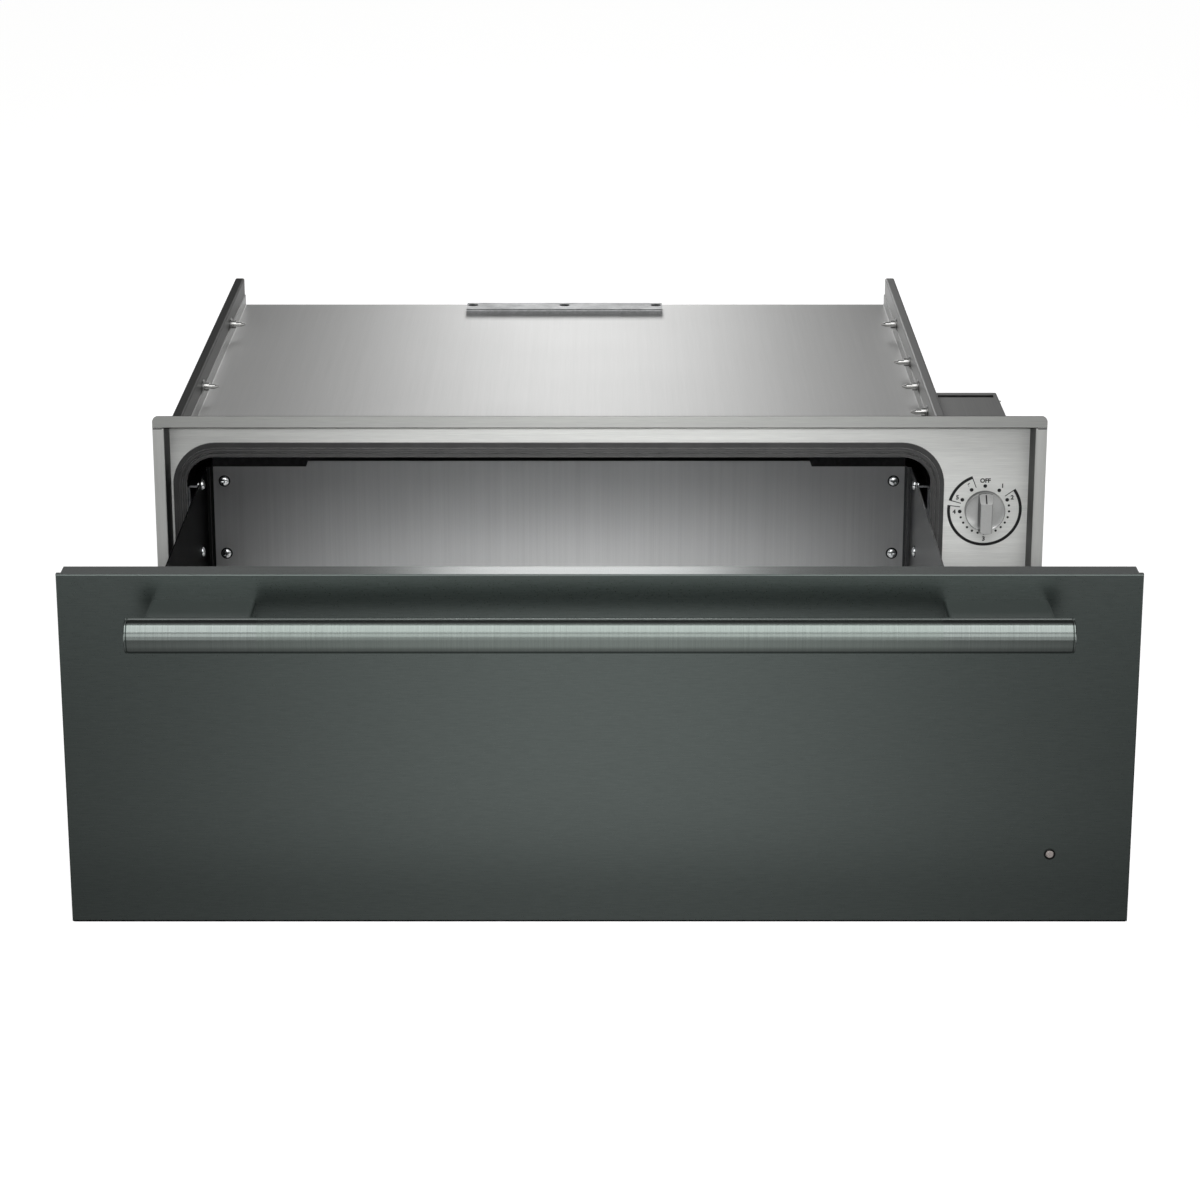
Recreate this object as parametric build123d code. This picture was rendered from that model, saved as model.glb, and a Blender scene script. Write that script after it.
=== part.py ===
from build123d import *
import os
from math import cos, radians, sin

# Built-in warming drawer, drawn with its drawer pulled right out, in millimetres.
# X runs to the right, Y from the cabinet's face to the back, Z up from the floor of the cut-out.

# Cabinet cut-out and the overall case
cutout_width = 724.0
cutout_height = 235.0
case_depth = 567.0          # from the cabinet's face to the back of the case
case_play = 1.3             # room left beside the collar in the cut-out
case_headroom = 4.0         # room left above the case in the cut-out
case_inset = 3.3            # the case's left side, in from the collar
control_bay = 72.1          # from the case's right side to the collar's right side
case_sheet = 1.0
case_bend = 1.2             # bend radius on the middle of a folded sheet

# Rim and collar that line the cut-out's mouth
rim_sheet = 1.0
rim_side = 8.4              # how far the rim stands out past the collar
rim_top = 9.3
rim_bottom = 8.0
rim_corner = 5.0
rim_seam = 0.1
collar_depth = 34.0         # from the rim's back to the fascia's front
collar_return = 6.0

# Fascia, oven mouth and door gasket
fascia_sheet = 1.0
edge_play = 0.2
rim_bend = rim_sheet / 2 + edge_play
mouth_margin = 11.0         # from the case's side to the mouth
mouth_bottom = 18.0
mouth_header = 32.6         # from the mouth's top edge to the collar
mouth_radius = 24.8
gasket_width = 11.2
gasket_foot = 2.0
gasket_depth = 7.0
seal_play = 0.8             # from the closed front's plinth to the gasket
rib_flat = 0.2              # half width of the flat left along each rib's crest
gasket_ribs = [(0.0, 3.2), (3.7, 7.1)]    # inner and outer edge of each rib, out from the mouth

# Top of the case
cover_drop = 26.0           # from the side panels' top down to the cover
cover_flange = 10.0
cover_lip_drop = 1.0        # from the collar's ceiling to the top of the cover's front
side_flange = 8.9           # width of the side panels' folded top
end_flange = 12.0
front_flange = 5.0
front_flange_clear = 2.0    # from the front flange's ends to the flanges above and below
ear_width = 15.0
ear_height = 17.5
bracket_width = 190.0
bracket_depth = 31.3
bracket_rise = 4.7
bracket_sheet = 1.5
bracket_from_back = 12.1
bracket_hole = 10.0
bracket_pitch = 88.9
bracket_hole_in = 12.0      # from the bracket's back edge to the row of holes

# Screws that close the case
case_screw_shank = 4.2
case_screw_head = 7.6
case_screw_head_height = 2.4
case_screw_length = 15.2
case_screw_tip = 4.0
case_nut = 7.4
case_nut_length = 4.4
hex_washer = 0.8
hex_washer_wider = 1.0
hex_head_taller = 0.6
hex_shank = 5.0
hex_spread = 0.8            # the outer screws' place, as a share of half the case
point_radius = 0.6
case_screw_height = 12.0    # above the cover
driver_hole = 10.0
first_screw = 102.3
screw_pitch = 89.0
last_screw_from_back = 137.5
hole_play = 0.1
past = 1.0                  # how far a cut runs on past the faces it opens

# Oven liner and what surrounds it
liner_sheet = 0.8
liner_floor = 14.0
liner_headroom = 1.0        # liner's ceiling above the mouth
liner_radius = 6.0
liner_flange = 4.0
service_space = 62.0        # from the liner's inside back to the back of the case
pad_play = 0.3
rear_pad = 25.0
pocket_width = 96.0
pocket_height = 40.0
pocket_drop = 6.0           # from the liner's floor to the pocket's

# Heating element under the pan
element_radius = 3.3
element_height = 9.0        # above the liner's floor
element_bend = 14.0
element_half_width = 230.0
element_legs = 6
element_front = 95.0
element_feed = 30.0         # half the distance between its two ends
element_back_gap = 38.0
element_out = 6.0           # how far its ends stand out behind the liner
bead_length = 5.0
bead_wall = 1.6
bead_edge = 0.8
clip_width = 14.0
clip_sheet = 1.2
clip_foot = 10.0
spade_width = 6.3
spade_sheet = 0.8
spade_length = 10.0

# Thermal cut-out on the liner's back
cutout_disc_radius = 8.0
cutout_disc_length = 9.0
cutout_flange_length = 30.0
cutout_flange_width = 9.0
cutout_flange_sheet = 0.8
disc_edge = 0.6

# Drawer stops at the mouth
stop_width = 78.5
stop_sheet = 1.0
stop_drop = 12.2
stop_slant = 4.0
stop_foot = 12.0
stop_from_side = 21.3
stop_behind_fascia = 4.4
stop_play = 0.6

# Ball-bearing slides
slide_bay = 15.0            # between the liner's side and the pan's side
slide_drop = 70.4           # from the mouth's top edge down to the slide's middle
slide_sheet = 1.2
slide_front_gap = 2.5
slide_back_gap = 9.3
slide_loss = 14.5           # slide length less its travel
slide_mid_shorter = 27.0
slide_core = 11.05          # half height of the inner member, to the middle of its sheet
slide_bend = 1.4
slide_bracket_sheet = 1.5
slide_bracket_height = 64.0
slide_bracket_ledge = 12.0
ball_radius = 2.0
race_play = 0.15
cage_sheet = 0.5
cage_play = 0.4
cage_length = 200.0
cage_margin = 7.0
cage_balls = 4
curl_sweep = 100.0
inner_curl_sweep = 65.0

# Pan
pan_sheet = 1.0
pan_bend = 0.6
pan_floor_height = 36.0
pan_below_mouth = 12.2      # pan's side walls, down from the mouth's top edge
pan_back_rise = 5.3         # pan's back, above its side walls
pan_flange = 22.0
pan_front_flange = 12.0
pan_floor_flange = 12.0
seam_strip = 3.2
seam_gap = 2.2
seam_depth = 3.0
floor_bead_count = 5
floor_bead_width = 14.0
floor_bead_depth = 1.6
floor_bead_margin = 60.0
pan_screw_head = 7.5
pan_screw_head_height = 2.8
pan_screw_shank = 4.0
pan_screw_pitch = 63.5
pan_screw_in = pan_flange * 2 / 3         # from the pan's side to the back's screws
pan_screw_top = 12.0        # down from the pan's side walls
pan_screw_rows = 3
pan_screw_through = 0.6     # how far the slides' screws stand out behind
slide_screw_from_back = 52.6
slide_screw_pitch = 180.0
slide_screw_count = 3
wall_screw_from_back = 39.7
wall_screw_top = 4.2

# Drawer front
panel_overlap = 15.83       # past the cut-out on each side
panel_drop = 10.0
panel_rise = 15.35
panel_thickness = 25.5
panel_gap = 2.0             # from the closed front to the rim
skin_sheet = 1.2
skin_edge = 1.0
lip_depth = 4.7
lip_overhang = 2.0
frame_sheet = 1.0
frame_flange = 14.0
plinth_sheet = 1.0
plinth_depth = collar_depth - gasket_depth - seal_play + rim_sheet + panel_gap
plinth_edge = 3.0
plinth_inset = 0.7          # plinth's outline, in from the gasket's
front_pad_gap = 6.0
front_pad_play = 0.5

# Handle
bar_radius = 12.3
bar_standoff = 48.0         # from the panel's face to the bar's axis
bar_below_top = 28.75       # from the panel's top edge to the bar's axis
bar_overall = 648.0
bar_wall = 2.0
sleeve_length = 90.4
sleeve_play = 0.1
spigot_length = 30.0
cap_thickness = 1.6
cap_groove = 0.5
bar_seat_open = 0.45        # depth of the mounts' open seat behind the bar's axis, in bar radii
mount_length = 73.5
mount_height = 19.6
mount_from_sleeve = 5.7
mount_corner = 3.0
handle_screw = 6.0
handle_screw_head = 11.0
handle_screw_head_height = 4.0
handle_screw_pitch = 40.0
handle_screw_bite = 20.0
handle_screw_end = 1.0      # left in the tapped hole beyond each screw

# Indicator light
lamp_from_side = 57.6
lamp_from_bottom = 51.9
bezel_radius = 4.1
bezel_proud = 0.8
bezel_hole = 3.4
bezel_length = 8.0
lens_radius = 2.9
lens_proud = 1.0
lens_dome = 0.9
lamp_radius = 4.6
lamp_length = 12.0
lamp_edge = 0.6
lamp_room = 1.0
lamp_wire = 0.6
lamp_wire_width = 3.0
lamp_wire_out = 2.4

# Control knob, its switch and the box round them
knob_from_side = 36.2       # from the collar's inner side
knob_from_top = 80.1
knob_radius = 16.9
knob_skirt = 7.0
knob_depth = 16.5
knob_grip_root = 13.4
knob_grip_crest = 10.0
knob_bevel = 8.5            # length of the pointer's slope at the grip's top end
knob_play = 0.3
knob_dish = 1.6
knob_edge = 1.2
knob_rim = 0.8
knob_grip_trim = 0.3
knob_dish_turn = 0.6        # where the dish turns up, as a share of its radius
knob_dish_lift = 0.2        # how far it has risen there, as a share of its depth
knob_cap = 4.0              # left between the shaft's bore and the knob's face
shaft_end_play = 0.5
shaft_radius = 3.0
shaft_play = 0.05
shaft_flat = 0.8
shaft_reach = 22.0
shaft_hole = 6.0
switch_width = 36.0
switch_height = 44.0
switch_depth = 34.0
switch_corner = 3.0
switch_collar = 5.0
switch_collar_length = 1.0
switch_column = 0.55        # the spades' place, as a share of half the switch's width
switch_row = 0.3            # their pitch, as a share of its height
box_wall_inset = 17.2       # from the collar's outer side to the control box
box_back = 155.7
box_floor = 80.0
box_drop = 10.65            # from the side panels' top to the box's lid
box_lid_flange = 15.0
box_slot_front = 139.5
box_slot_back = 148.0
box_slot_end = 3.0          # from the slot's end to the box's outer wall
box_screw_from_back = 9.0
box_screw_drop = 8.5

# Back of the case
vent_rows = 2
vent_columns = 7
vent_length = 34.0
vent_width = 5.0
vent_pitch_x = 44.0
vent_pitch_z = 14.0
inlet_from_side = 48.0
inlet_height = 60.0
inlet_radius = 11.0
inlet_bore = 4.5
inlet_flange = 3.0
inlet_flange_radius = 14.0
inlet_length = 22.0

# Places worked out from the sizes above
collar_half = cutout_width / 2 - case_play
collar_top = cutout_height - case_headroom
collar_inner = collar_half - rim_sheet
collar_ceiling = collar_top - rim_sheet
rim_half = collar_half + rim_side
fascia_back = collar_depth + fascia_sheet
case_front = fascia_back + rim_sheet
case_left = case_inset - collar_half
case_right = collar_half - control_bay
case_centre = (case_left + case_right) / 2
case_half = (case_right - case_left) / 2
inner_half = case_half - case_sheet
cover_top = collar_top - cover_drop
cover_under = cover_top - case_sheet
cover_half = case_half - side_flange
mouth_half = case_half - mouth_margin
mouth_top = collar_ceiling - mouth_header
mouth_middle = (mouth_top + mouth_bottom) / 2
liner_ceiling = mouth_top + liner_headroom
liner_back = case_depth - service_space
slide_front = case_front + slide_front_gap
slide_length = liner_back - slide_back_gap - slide_front
travel = slide_length - slide_loss
panel_width = cutout_width + 2 * panel_overlap
panel_bottom = -panel_drop
panel_top = cutout_height + panel_rise
panel_back = -rim_sheet - panel_gap - travel
panel_face = panel_back - panel_thickness
skin_inside = panel_face + skin_sheet
plinth_back = panel_back - frame_sheet + plinth_depth + frame_sheet
pan_front = plinth_back
stop_back = fascia_back + stop_behind_fascia + stop_sheet
pan_back = stop_back + stop_play
pan_half = mouth_half - slide_bay
pan_inner_half = pan_half - pan_sheet
pan_top = mouth_top - pan_below_mouth
pan_back_end = pan_back + pan_sheet
slide_height = mouth_top - slide_drop
knob_x = collar_inner - knob_from_side
knob_z = collar_ceiling - knob_from_top
bar_y = panel_face - bar_standoff
bar_z = panel_top - bar_below_top
bar_half = bar_overall / 2
sleeve_start = bar_half - sleeve_length
lamp_x = panel_width / 2 - lamp_from_side
lamp_z = panel_bottom + lamp_from_bottom
box_right = collar_half - box_wall_inset
box_top = collar_top - box_drop
screw_level = cover_top + case_screw_height
screws_left = [first_screw + screw_pitch, case_depth - last_screw_from_back]
screws_right = [first_screw + screw_pitch * step for step in range(3)]
screws_right.append(case_depth - last_screw_from_back)


# Small tools for folded sheet, blocks and turned pieces

def block(x, y, z):
    """The block between two values on each axis."""
    middle = Pos((x[0] + x[1]) / 2, (y[0] + y[1]) / 2, (z[0] + z[1]) / 2)
    return middle * Box(x[1] - x[0], y[1] - y[0], z[1] - z[0])


def along_x(profile, start, end):
    """A (Y, Z) profile carried along X."""
    return extrude(Plane.YZ.offset(start) * profile, amount=end - start)


def along_y(profile, start, end):
    """An (X, Z) profile carried along Y."""
    return extrude(Plane.XZ.offset(-start) * profile, amount=start - end)


def along_z(profile, start, end):
    """An (X, Y) profile carried along Z."""
    return extrude(Plane.XY.offset(start) * profile, amount=end - start)


def sheet(points, thickness, bend=case_bend):
    """The section of a sheet folded along points on its middle."""
    return trace(FilletPolyline(*points, radius=bend), line_width=thickness)


def rod_x(radius, x0, x1, y, z):
    """A round bar or hole along X."""
    return Pos((x0 + x1) / 2, y, z) * Rot(0, 90, 0) * Cylinder(radius, x1 - x0)


def rod_y(radius, x, y0, y1, z):
    """A round bar or hole along Y."""
    return Pos(x, (y0 + y1) / 2, z) * Rot(90, 0, 0) * Cylinder(radius, y1 - y0)


def rod_z(radius, x, y, z0, z1):
    """A round bar or hole along Z."""
    return Pos(x, y, (z0 + z1) / 2) * Cylinder(radius, z1 - z0)


def across(piece):
    """The same piece on the other side of the case's middle."""
    return mirror(piece, about=Plane.YZ.offset(case_centre))


def mouth_outline(grow=0.0):
    """The mouth's rounded outline in (X, Z), grown outwards all round."""
    width = 2 * (mouth_half + grow)
    height = mouth_top - mouth_bottom + 2 * grow
    return Pos(case_centre, mouth_middle) * RectangleRounded(width, height, mouth_radius + grow)


def near(edges, axis, place, reach=0.05):
    """Those edges whose middle lies at a place along an axis."""
    pick = {Axis.X: lambda c: c.X, Axis.Y: lambda c: c.Y, Axis.Z: lambda c: c.Z}[axis]
    return edges.filter_by(lambda edge: abs(pick(edge.center()) - place) < reach)


def group(pieces):
    """Separate solids kept together in one sub-part."""
    return Compound(children=[solid for piece in pieces for solid in piece.solids()])


def facing(piece, origin, way):
    """A piece drawn along +Z, turned to face another way with its seat at origin."""
    level = (0, 1, 0) if way[0] else (1, 0, 0)
    return Plane(origin=origin, x_dir=level, z_dir=way) * piece


# Rim and collar

def rail_ends(rail):
    """Trims a rail's wall so that it goes no further than the collar's corner."""
    spare = (0, case_front + past)
    height = (-rim_bottom - past, collar_top + rim_top + past)
    for side in (-1, 1):
        reach = sorted((side * collar_half, side * (rim_half + past)))
        rail -= block(reach, spare, height)
    return rail


def frame_top():
    """The rim's top member, with the collar's ceiling and the return behind the fascia."""
    wall = collar_top - rim_sheet / 2
    back = case_front - rim_sheet / 2
    front = -rim_sheet / 2
    points = [(front, collar_top + rim_top), (front, wall), (back, wall), (back, wall - collar_return)]
    rail = rail_ends(along_x(sheet(points, rim_sheet, rim_bend), -rim_half, rim_half))
    corners = near(rail.edges().filter_by(Axis.Y), Axis.Z, collar_top + rim_top)
    return fillet(corners, rim_corner)


def frame_bottom():
    """The rim's bottom member, whose collar wall rests on the floor of the cut-out."""
    wall = rim_sheet / 2
    back = case_front - rim_sheet / 2
    front = -rim_sheet / 2
    points = [(front, -rim_bottom), (front, wall), (back, wall), (back, wall + collar_return)]
    rail = rail_ends(along_x(sheet(points, rim_sheet, rim_bend), -rim_half, rim_half))
    corners = near(rail.edges().filter_by(Axis.Y), Axis.Z, -rim_bottom)
    return fillet(corners, rim_corner)


def frame_side(side):
    """A side member, which butts between the top and bottom members."""
    wall = side * (collar_half - rim_sheet / 2)
    back = case_front - rim_sheet / 2
    front = -rim_sheet / 2
    inward = wall - side * collar_return
    points = [(side * rim_half, front), (wall, front), (wall, back), (inward, back)]
    low, high = rim_sheet + rim_seam, collar_ceiling - rim_seam
    rail = along_z(sheet(points, rim_sheet, rim_bend), low, high)
    room = collar_return + rim_seam
    reach = sorted((side * (collar_half + past), side * (collar_inner - collar_return - past)))
    depth = (fascia_back - rim_seam, case_front + past)
    rail -= block(reach, depth, (low - past, low + room))
    return rail - block(reach, depth, (high - room, high + past))


# Fascia, gasket and stops

def fascia():
    """The stainless plate round the mouth, with the hole for the knob's shaft."""
    half = collar_inner - edge_play
    plate = block((-half, half), (collar_depth, fascia_back),
                  (rim_sheet + edge_play, collar_ceiling - edge_play))
    plate -= along_y(mouth_outline(), collar_depth - past, fascia_back + past)
    return plate - rod_y(shaft_hole, knob_x, collar_depth - past, fascia_back + past, knob_z)


def gasket_ring(inner, outer, front, back):
    """A ring round the mouth between two distances from its edge."""
    return along_y(mouth_outline(outer) - mouth_outline(inner), front, back)


def door_gasket():
    """A flat foot on the fascia with two rounded ribs that the closed front presses on."""
    foot_front = collar_depth - gasket_foot
    tip = collar_depth - gasket_depth
    seal = gasket_ring(0, gasket_width, foot_front, collar_depth)
    for inner, outer in gasket_ribs:
        rib = gasket_ring(inner, outer, tip, foot_front + gasket_foot / 2)
        crown = near(rib.edges(), Axis.Y, tip)
        seal += fillet(crown, (outer - inner) / 2 - rib_flat)
    return seal


def stop_outline():
    """One stop seen from the front, with its slanted inner end."""
    outer = case_centre - mouth_half + stop_from_side
    inner = outer + stop_width
    low = liner_ceiling - stop_drop
    return make_face(Polyline((outer, liner_ceiling), (outer, low), (inner, low),
                              (inner + stop_slant, liner_ceiling), close=True))


def drawer_stops():
    """Two angle brackets under the liner's ceiling, which catch the pan's back."""
    plate = along_y(stop_outline(), stop_back - stop_sheet, stop_back)
    outer = plate.bounding_box().min.X
    inner = plate.bounding_box().max.X
    foot = block((outer, inner), (stop_back - stop_sheet, stop_back + stop_foot),
                 (liner_ceiling - stop_sheet, liner_ceiling))
    left = plate + foot
    return group([left, across(left)])


# Case

def side_section():
    """Left side panel in (X, Z): outer wall, folded top and inner return."""
    outer = case_left + case_sheet / 2
    inner = case_left + side_flange - case_sheet / 2
    top = collar_top - case_sheet / 2
    return sheet([(outer, 0), (outer, top), (inner, top), (inner, cover_top + edge_play)], case_sheet)


def side_panel(rows):
    """Left side panel with its front flange, driver holes and screw holes."""
    panel = along_y(side_section(), case_front, case_depth)
    inner_face = case_left + case_sheet
    panel += block((inner_face, inner_face + front_flange), (case_front, case_front + case_sheet),
                   (end_flange + front_flange_clear, cover_under - end_flange))
    for row in rows:
        panel -= rod_x(driver_hole / 2, case_left - past, inner_face + past, row, screw_level)
        hole = case_screw_shank / 2 + hole_play
        flange = case_left + side_flange
        panel -= rod_x(hole, flange - case_sheet - past, flange + past, row, screw_level)
    return panel


def base_pan():
    """The floor of the case, with a low flange inside each side panel."""
    low = case_left + case_sheet + case_sheet / 2
    high = case_right - case_sheet - case_sheet / 2
    middle = case_sheet / 2
    points = [(low, end_flange), (low, middle), (high, middle), (high, end_flange)]
    return along_y(sheet(points, case_sheet), case_front, case_depth - end_flange - case_sheet)


def cover_ear(row, side):
    """A raised ear of the cover's flange, where a case screw passes."""
    face = case_centre + side * cover_half
    reach = sorted((face, face - side * case_sheet))
    ear = block(reach, (row - ear_width / 2, row + ear_width / 2), (cover_top, cover_top + ear_height))
    corners = near(ear.edges().filter_by(Axis.X), Axis.Z, cover_top + ear_height)
    return fillet(corners, ear_width / 3)


def top_cover():
    """The cover with upturned sides and front, ears for the screws and a turned-down back."""
    side = cover_half - case_sheet / 2
    middle = cover_top - case_sheet / 2
    low, high = case_centre - side, case_centre + side
    lip = cover_top + cover_flange
    points = [(low, lip), (low, middle), (high, middle), (high, lip)]
    back = case_depth - case_sheet
    cover = along_y(sheet(points, case_sheet), case_front, back)
    inside = cover_half - case_sheet - case_bend
    span = (case_centre - inside, case_centre + inside)
    cover += block(span, (case_front, case_front + case_sheet),
                   (cover_under, collar_ceiling - cover_lip_drop))
    cover += block(span, (back - case_sheet, back), (cover_under - end_flange, cover_top))
    hole = case_screw_shank / 2 + hole_play
    for side, rows in ((-1, screws_left), (1, screws_right)):
        edge = sorted((case_centre + side * (cover_half + past),
                       case_centre + side * (cover_half - case_sheet - past)))
        for row in rows:
            cover += cover_ear(row, side)
            cover -= rod_x(hole, *edge, row, screw_level)
    return cover - rear_screw_holes()


def vent_slots():
    """Rows of slots that let the service space breathe."""
    middle = Pos(case_centre, (cover_under + inlet_height) / 2 + vent_pitch_z)
    places = GridLocations(vent_pitch_x, vent_pitch_z, vent_columns, vent_rows)
    slots = middle * (Sketch() + [place * SlotOverall(vent_length, vent_width) for place in places])
    return along_y(slots, case_depth - case_sheet - past, case_depth + past)


def inlet_x():
    """Where the supply lead enters, measured from the case's right side."""
    return case_right - inlet_from_side


def rear_panel():
    """The back of the case, folded forward inside the side panels."""
    low = case_left + case_sheet * 1.5
    high = case_right - case_sheet * 1.5
    middle = case_depth - case_sheet / 2
    front = case_depth - end_flange
    points = [(low, front), (low, middle), (high, middle), (high, front)]
    panel = along_z(sheet(points, case_sheet), case_sheet, cover_under)
    panel -= vent_slots()
    panel -= rear_screw_holes()
    hole = inlet_radius + hole_play
    return panel - rod_y(hole, inlet_x(), case_depth - case_sheet - past, case_depth + past, inlet_height)


def top_bracket():
    """A low channel across the back of the cover with three holes for the fixing screws."""
    back = case_depth - bracket_from_back - bracket_sheet / 2
    front = back - bracket_depth + bracket_sheet
    top = cover_top + bracket_rise - bracket_sheet / 2
    section = sheet([(front, cover_top), (front, top), (back, top), (back, cover_top)], bracket_sheet)
    half = bracket_width / 2
    channel = along_x(section, case_centre - half, case_centre + half)
    for step in (-1, 0, 1):
        channel -= rod_z(bracket_hole / 2, case_centre + step * bracket_pitch, bracket_hole_y(),
                         cover_top + past, cover_top + bracket_rise + past)
    return channel


def bracket_hole_y():
    """The row of fixing holes."""
    return case_depth - bracket_from_back - bracket_hole_in


# Screws

def turned_head(radius, height):
    """A head with a bevelled crown, seated on the XY plane."""
    crown = Pos(0, 0, height / 2) * Cylinder(radius, height)
    return chamfer(near(crown.edges(), Axis.Z, height), height / 2)


def screw(head_radius, head_height, shank_radius, length):
    """A cross-recessed screw, whose head faces +Z and whose shank runs down from the XY plane."""
    head = turned_head(head_radius, head_height)
    for turn in (0, 90):
        head -= Pos(0, 0, head_height) * Rot(0, 0, turn) * Box(head_radius, head_radius / 4, head_height)
    return head + Pos(0, 0, -length / 2) * Cylinder(shank_radius, length)


def case_screw():
    """A pointed screw with its clip nut, drawn down from the XY plane."""
    shank = case_screw_shank / 2
    straight = case_screw_length - case_screw_tip
    body = turned_head(case_screw_head / 2, case_screw_head_height)
    body += Pos(0, 0, -straight / 2) * Cylinder(shank, straight)
    point = Pos(0, 0, -straight - case_screw_tip / 2) * Cone(point_radius, shank, case_screw_tip)
    seat = -2 * case_sheet - case_nut_length / 2
    return body + point + Pos(0, 0, seat) * Cylinder(case_nut / 2, case_nut_length)


def case_screws():
    """The screws that join the cover to both side panels, points inwards."""
    left = case_left + side_flange - case_sheet
    right = case_right - side_flange + case_sheet
    rows = [facing(case_screw(), (left, row, screw_level), (-1, 0, 0)) for row in screws_left]
    rows += [facing(case_screw(), (right, row, screw_level), (1, 0, 0)) for row in screws_right]
    return group(rows)


def hex_screw():
    """A hexagon washer-head screw, drawn down from the XY plane."""
    head = extrude(RegularPolygon(case_screw_head / 2, 6), amount=case_screw_head_height + hex_head_taller)
    washer = Pos(0, 0, hex_washer / 2) * Cylinder(case_screw_head / 2 + hex_washer_wider, hex_washer)
    return head + washer + Pos(0, 0, -hex_shank / 2) * Cylinder(case_screw_shank / 2, hex_shank)


def cover_screws():
    """Hexagon screws: a row along the back of the cover and one in the control box's lid."""
    heads = [facing(hex_screw(), place, (0, 1, 0)) for place in rear_screw_places()]
    heads.append(facing(hex_screw(), box_screw_place(), (1, 0, 0)))
    return group(heads)


def rear_screw_places():
    """The row of screws along the back, which join the cover's flange to the rear panel."""
    level = cover_under - end_flange / 2
    return [(case_centre + step * hex_spread * inner_half, case_depth, level) for step in (-1, 0, 1)]


def rear_screw_holes():
    """The holes for that row, through both sheets."""
    hole = case_screw_shank / 2 + hole_play
    return [rod_y(hole, x, y - hex_shank - past, y + past, z) for x, y, z in rear_screw_places()]


def box_screw_place():
    """The screw in the flange of the control box's lid."""
    return box_right + case_sheet, box_back - box_screw_from_back, box_top - box_screw_drop


def box_screw_hole():
    """The hole for that screw."""
    x, y, z = box_screw_place()
    return rod_x(case_screw_shank / 2 + hole_play, x - hex_shank - past, x + past, y, z)


# Oven liner, padding and heating

def liner_section(grow=0.0):
    """The liner's inside in (X, Z), grown outwards."""
    width = 2 * (mouth_half + grow)
    height = liner_ceiling - liner_floor + 2 * grow
    middle = (liner_ceiling + liner_floor) / 2
    return Pos(case_centre, middle) * RectangleRounded(width, height, liner_radius + grow)


def terminal_places():
    """The element's two ends at the liner's back."""
    return [case_centre - element_feed, case_centre + element_feed]


def cavity_liner():
    """A five-sided steel box with a narrow flange behind the fascia."""
    flange_back = fascia_back + liner_sheet
    liner = along_y(liner_section(liner_sheet), fascia_back, liner_back + liner_sheet)
    liner += along_y(liner_section(liner_flange), fascia_back, flange_back)
    liner -= along_y(liner_section(), fascia_back - past, liner_back)
    level = liner_floor + element_height
    for x in terminal_places():
        liner -= rod_y(element_radius + hole_play, x, liner_back - past, liner_back + 2 * past, level)
    return liner


def liner_insulation():
    """Glass wool round the liner, with a pocket at the back for the connections."""
    side = inner_half - case_sheet - pad_play
    back = liner_back + liner_sheet + rear_pad
    front = case_front + case_sheet + pad_play
    wool = block((case_centre - side, case_centre + side), (front, back),
                 (case_sheet + pad_play, cover_under - pad_play))
    wool -= along_y(liner_section(liner_sheet + pad_play), front - past, liner_back + liner_sheet + pad_play)
    half = pocket_width / 2
    low = liner_floor - pocket_drop
    return wool - block((case_centre - half, case_centre + half), (liner_back, back + past),
                        (low, low + pocket_height))


def element_path():
    """The tube's route: in at the back, out along hairpins over the floor, and back out."""
    feed = liner_back - element_back_gap
    turn = feed - element_back_gap
    end = liner_back + liner_sheet + element_out
    step = 2 * element_half_width / (element_legs - 1)
    route = [(-element_feed, end), (-element_feed, feed), (-element_half_width, feed)]
    for leg in range(element_legs):
        x = -element_half_width + leg * step
        ends = [(x, turn), (x, element_front)]
        route += ends[::-1] if leg % 2 else ends
    route = [point for point in route if point not in
             [(-element_half_width, turn), (element_half_width, turn)]]
    route += [(element_half_width, feed), (element_feed, feed), (element_feed, end)]
    level = liner_floor + element_height
    return [(case_centre + x, y, level) for x, y in route]


def heating_element():
    """A sheathed tube bent into flat hairpins."""
    route = FilletPolyline(*element_path(), radius=element_bend)
    start = Plane(origin=route @ 0, z_dir=route % 0)
    return sweep(start * Circle(element_radius), path=route)


def element_clips():
    """Upright clips on the floor, each notched for the tube."""
    level = liner_floor + element_height
    turn = liner_back - 2 * element_back_gap
    clips = []
    for side in (-1, 1):
        x = case_centre + side * element_half_width
        for y in (element_front + 3 * element_bend, turn):
            upright = block((x - clip_width / 2, x + clip_width / 2), (y, y + clip_sheet),
                            (liner_floor, level + element_radius))
            foot = block((x - clip_width / 2, x + clip_width / 2), (y, y + clip_foot),
                         (liner_floor, liner_floor + clip_sheet))
            notch = rod_y(element_radius + hole_play, x, y - past, y + clip_sheet + past, level)
            throat = element_radius + hole_play
            slot = block((x - throat, x + throat), (y - past, y + clip_sheet + past),
                         (level, level + 2 * element_radius))
            clips.append(upright + foot - notch - slot)
    return group(clips)


def element_terminals():
    """A ceramic bead and a spade on each end of the element."""
    level = liner_floor + element_height
    start = liner_back + liner_sheet + element_out
    ends = []
    for x in terminal_places():
        tube = rod_y(element_radius + bead_wall, x, start, start + bead_length, level)
        bead = fillet(tube.edges(), bead_edge)
        end = start + bead_length
        spade = block((x - spade_sheet / 2, x + spade_sheet / 2), (end, end + spade_length),
                      (level - spade_width / 2, level + spade_width / 2))
        ends.append(bead + spade)
    return group(ends)


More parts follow.
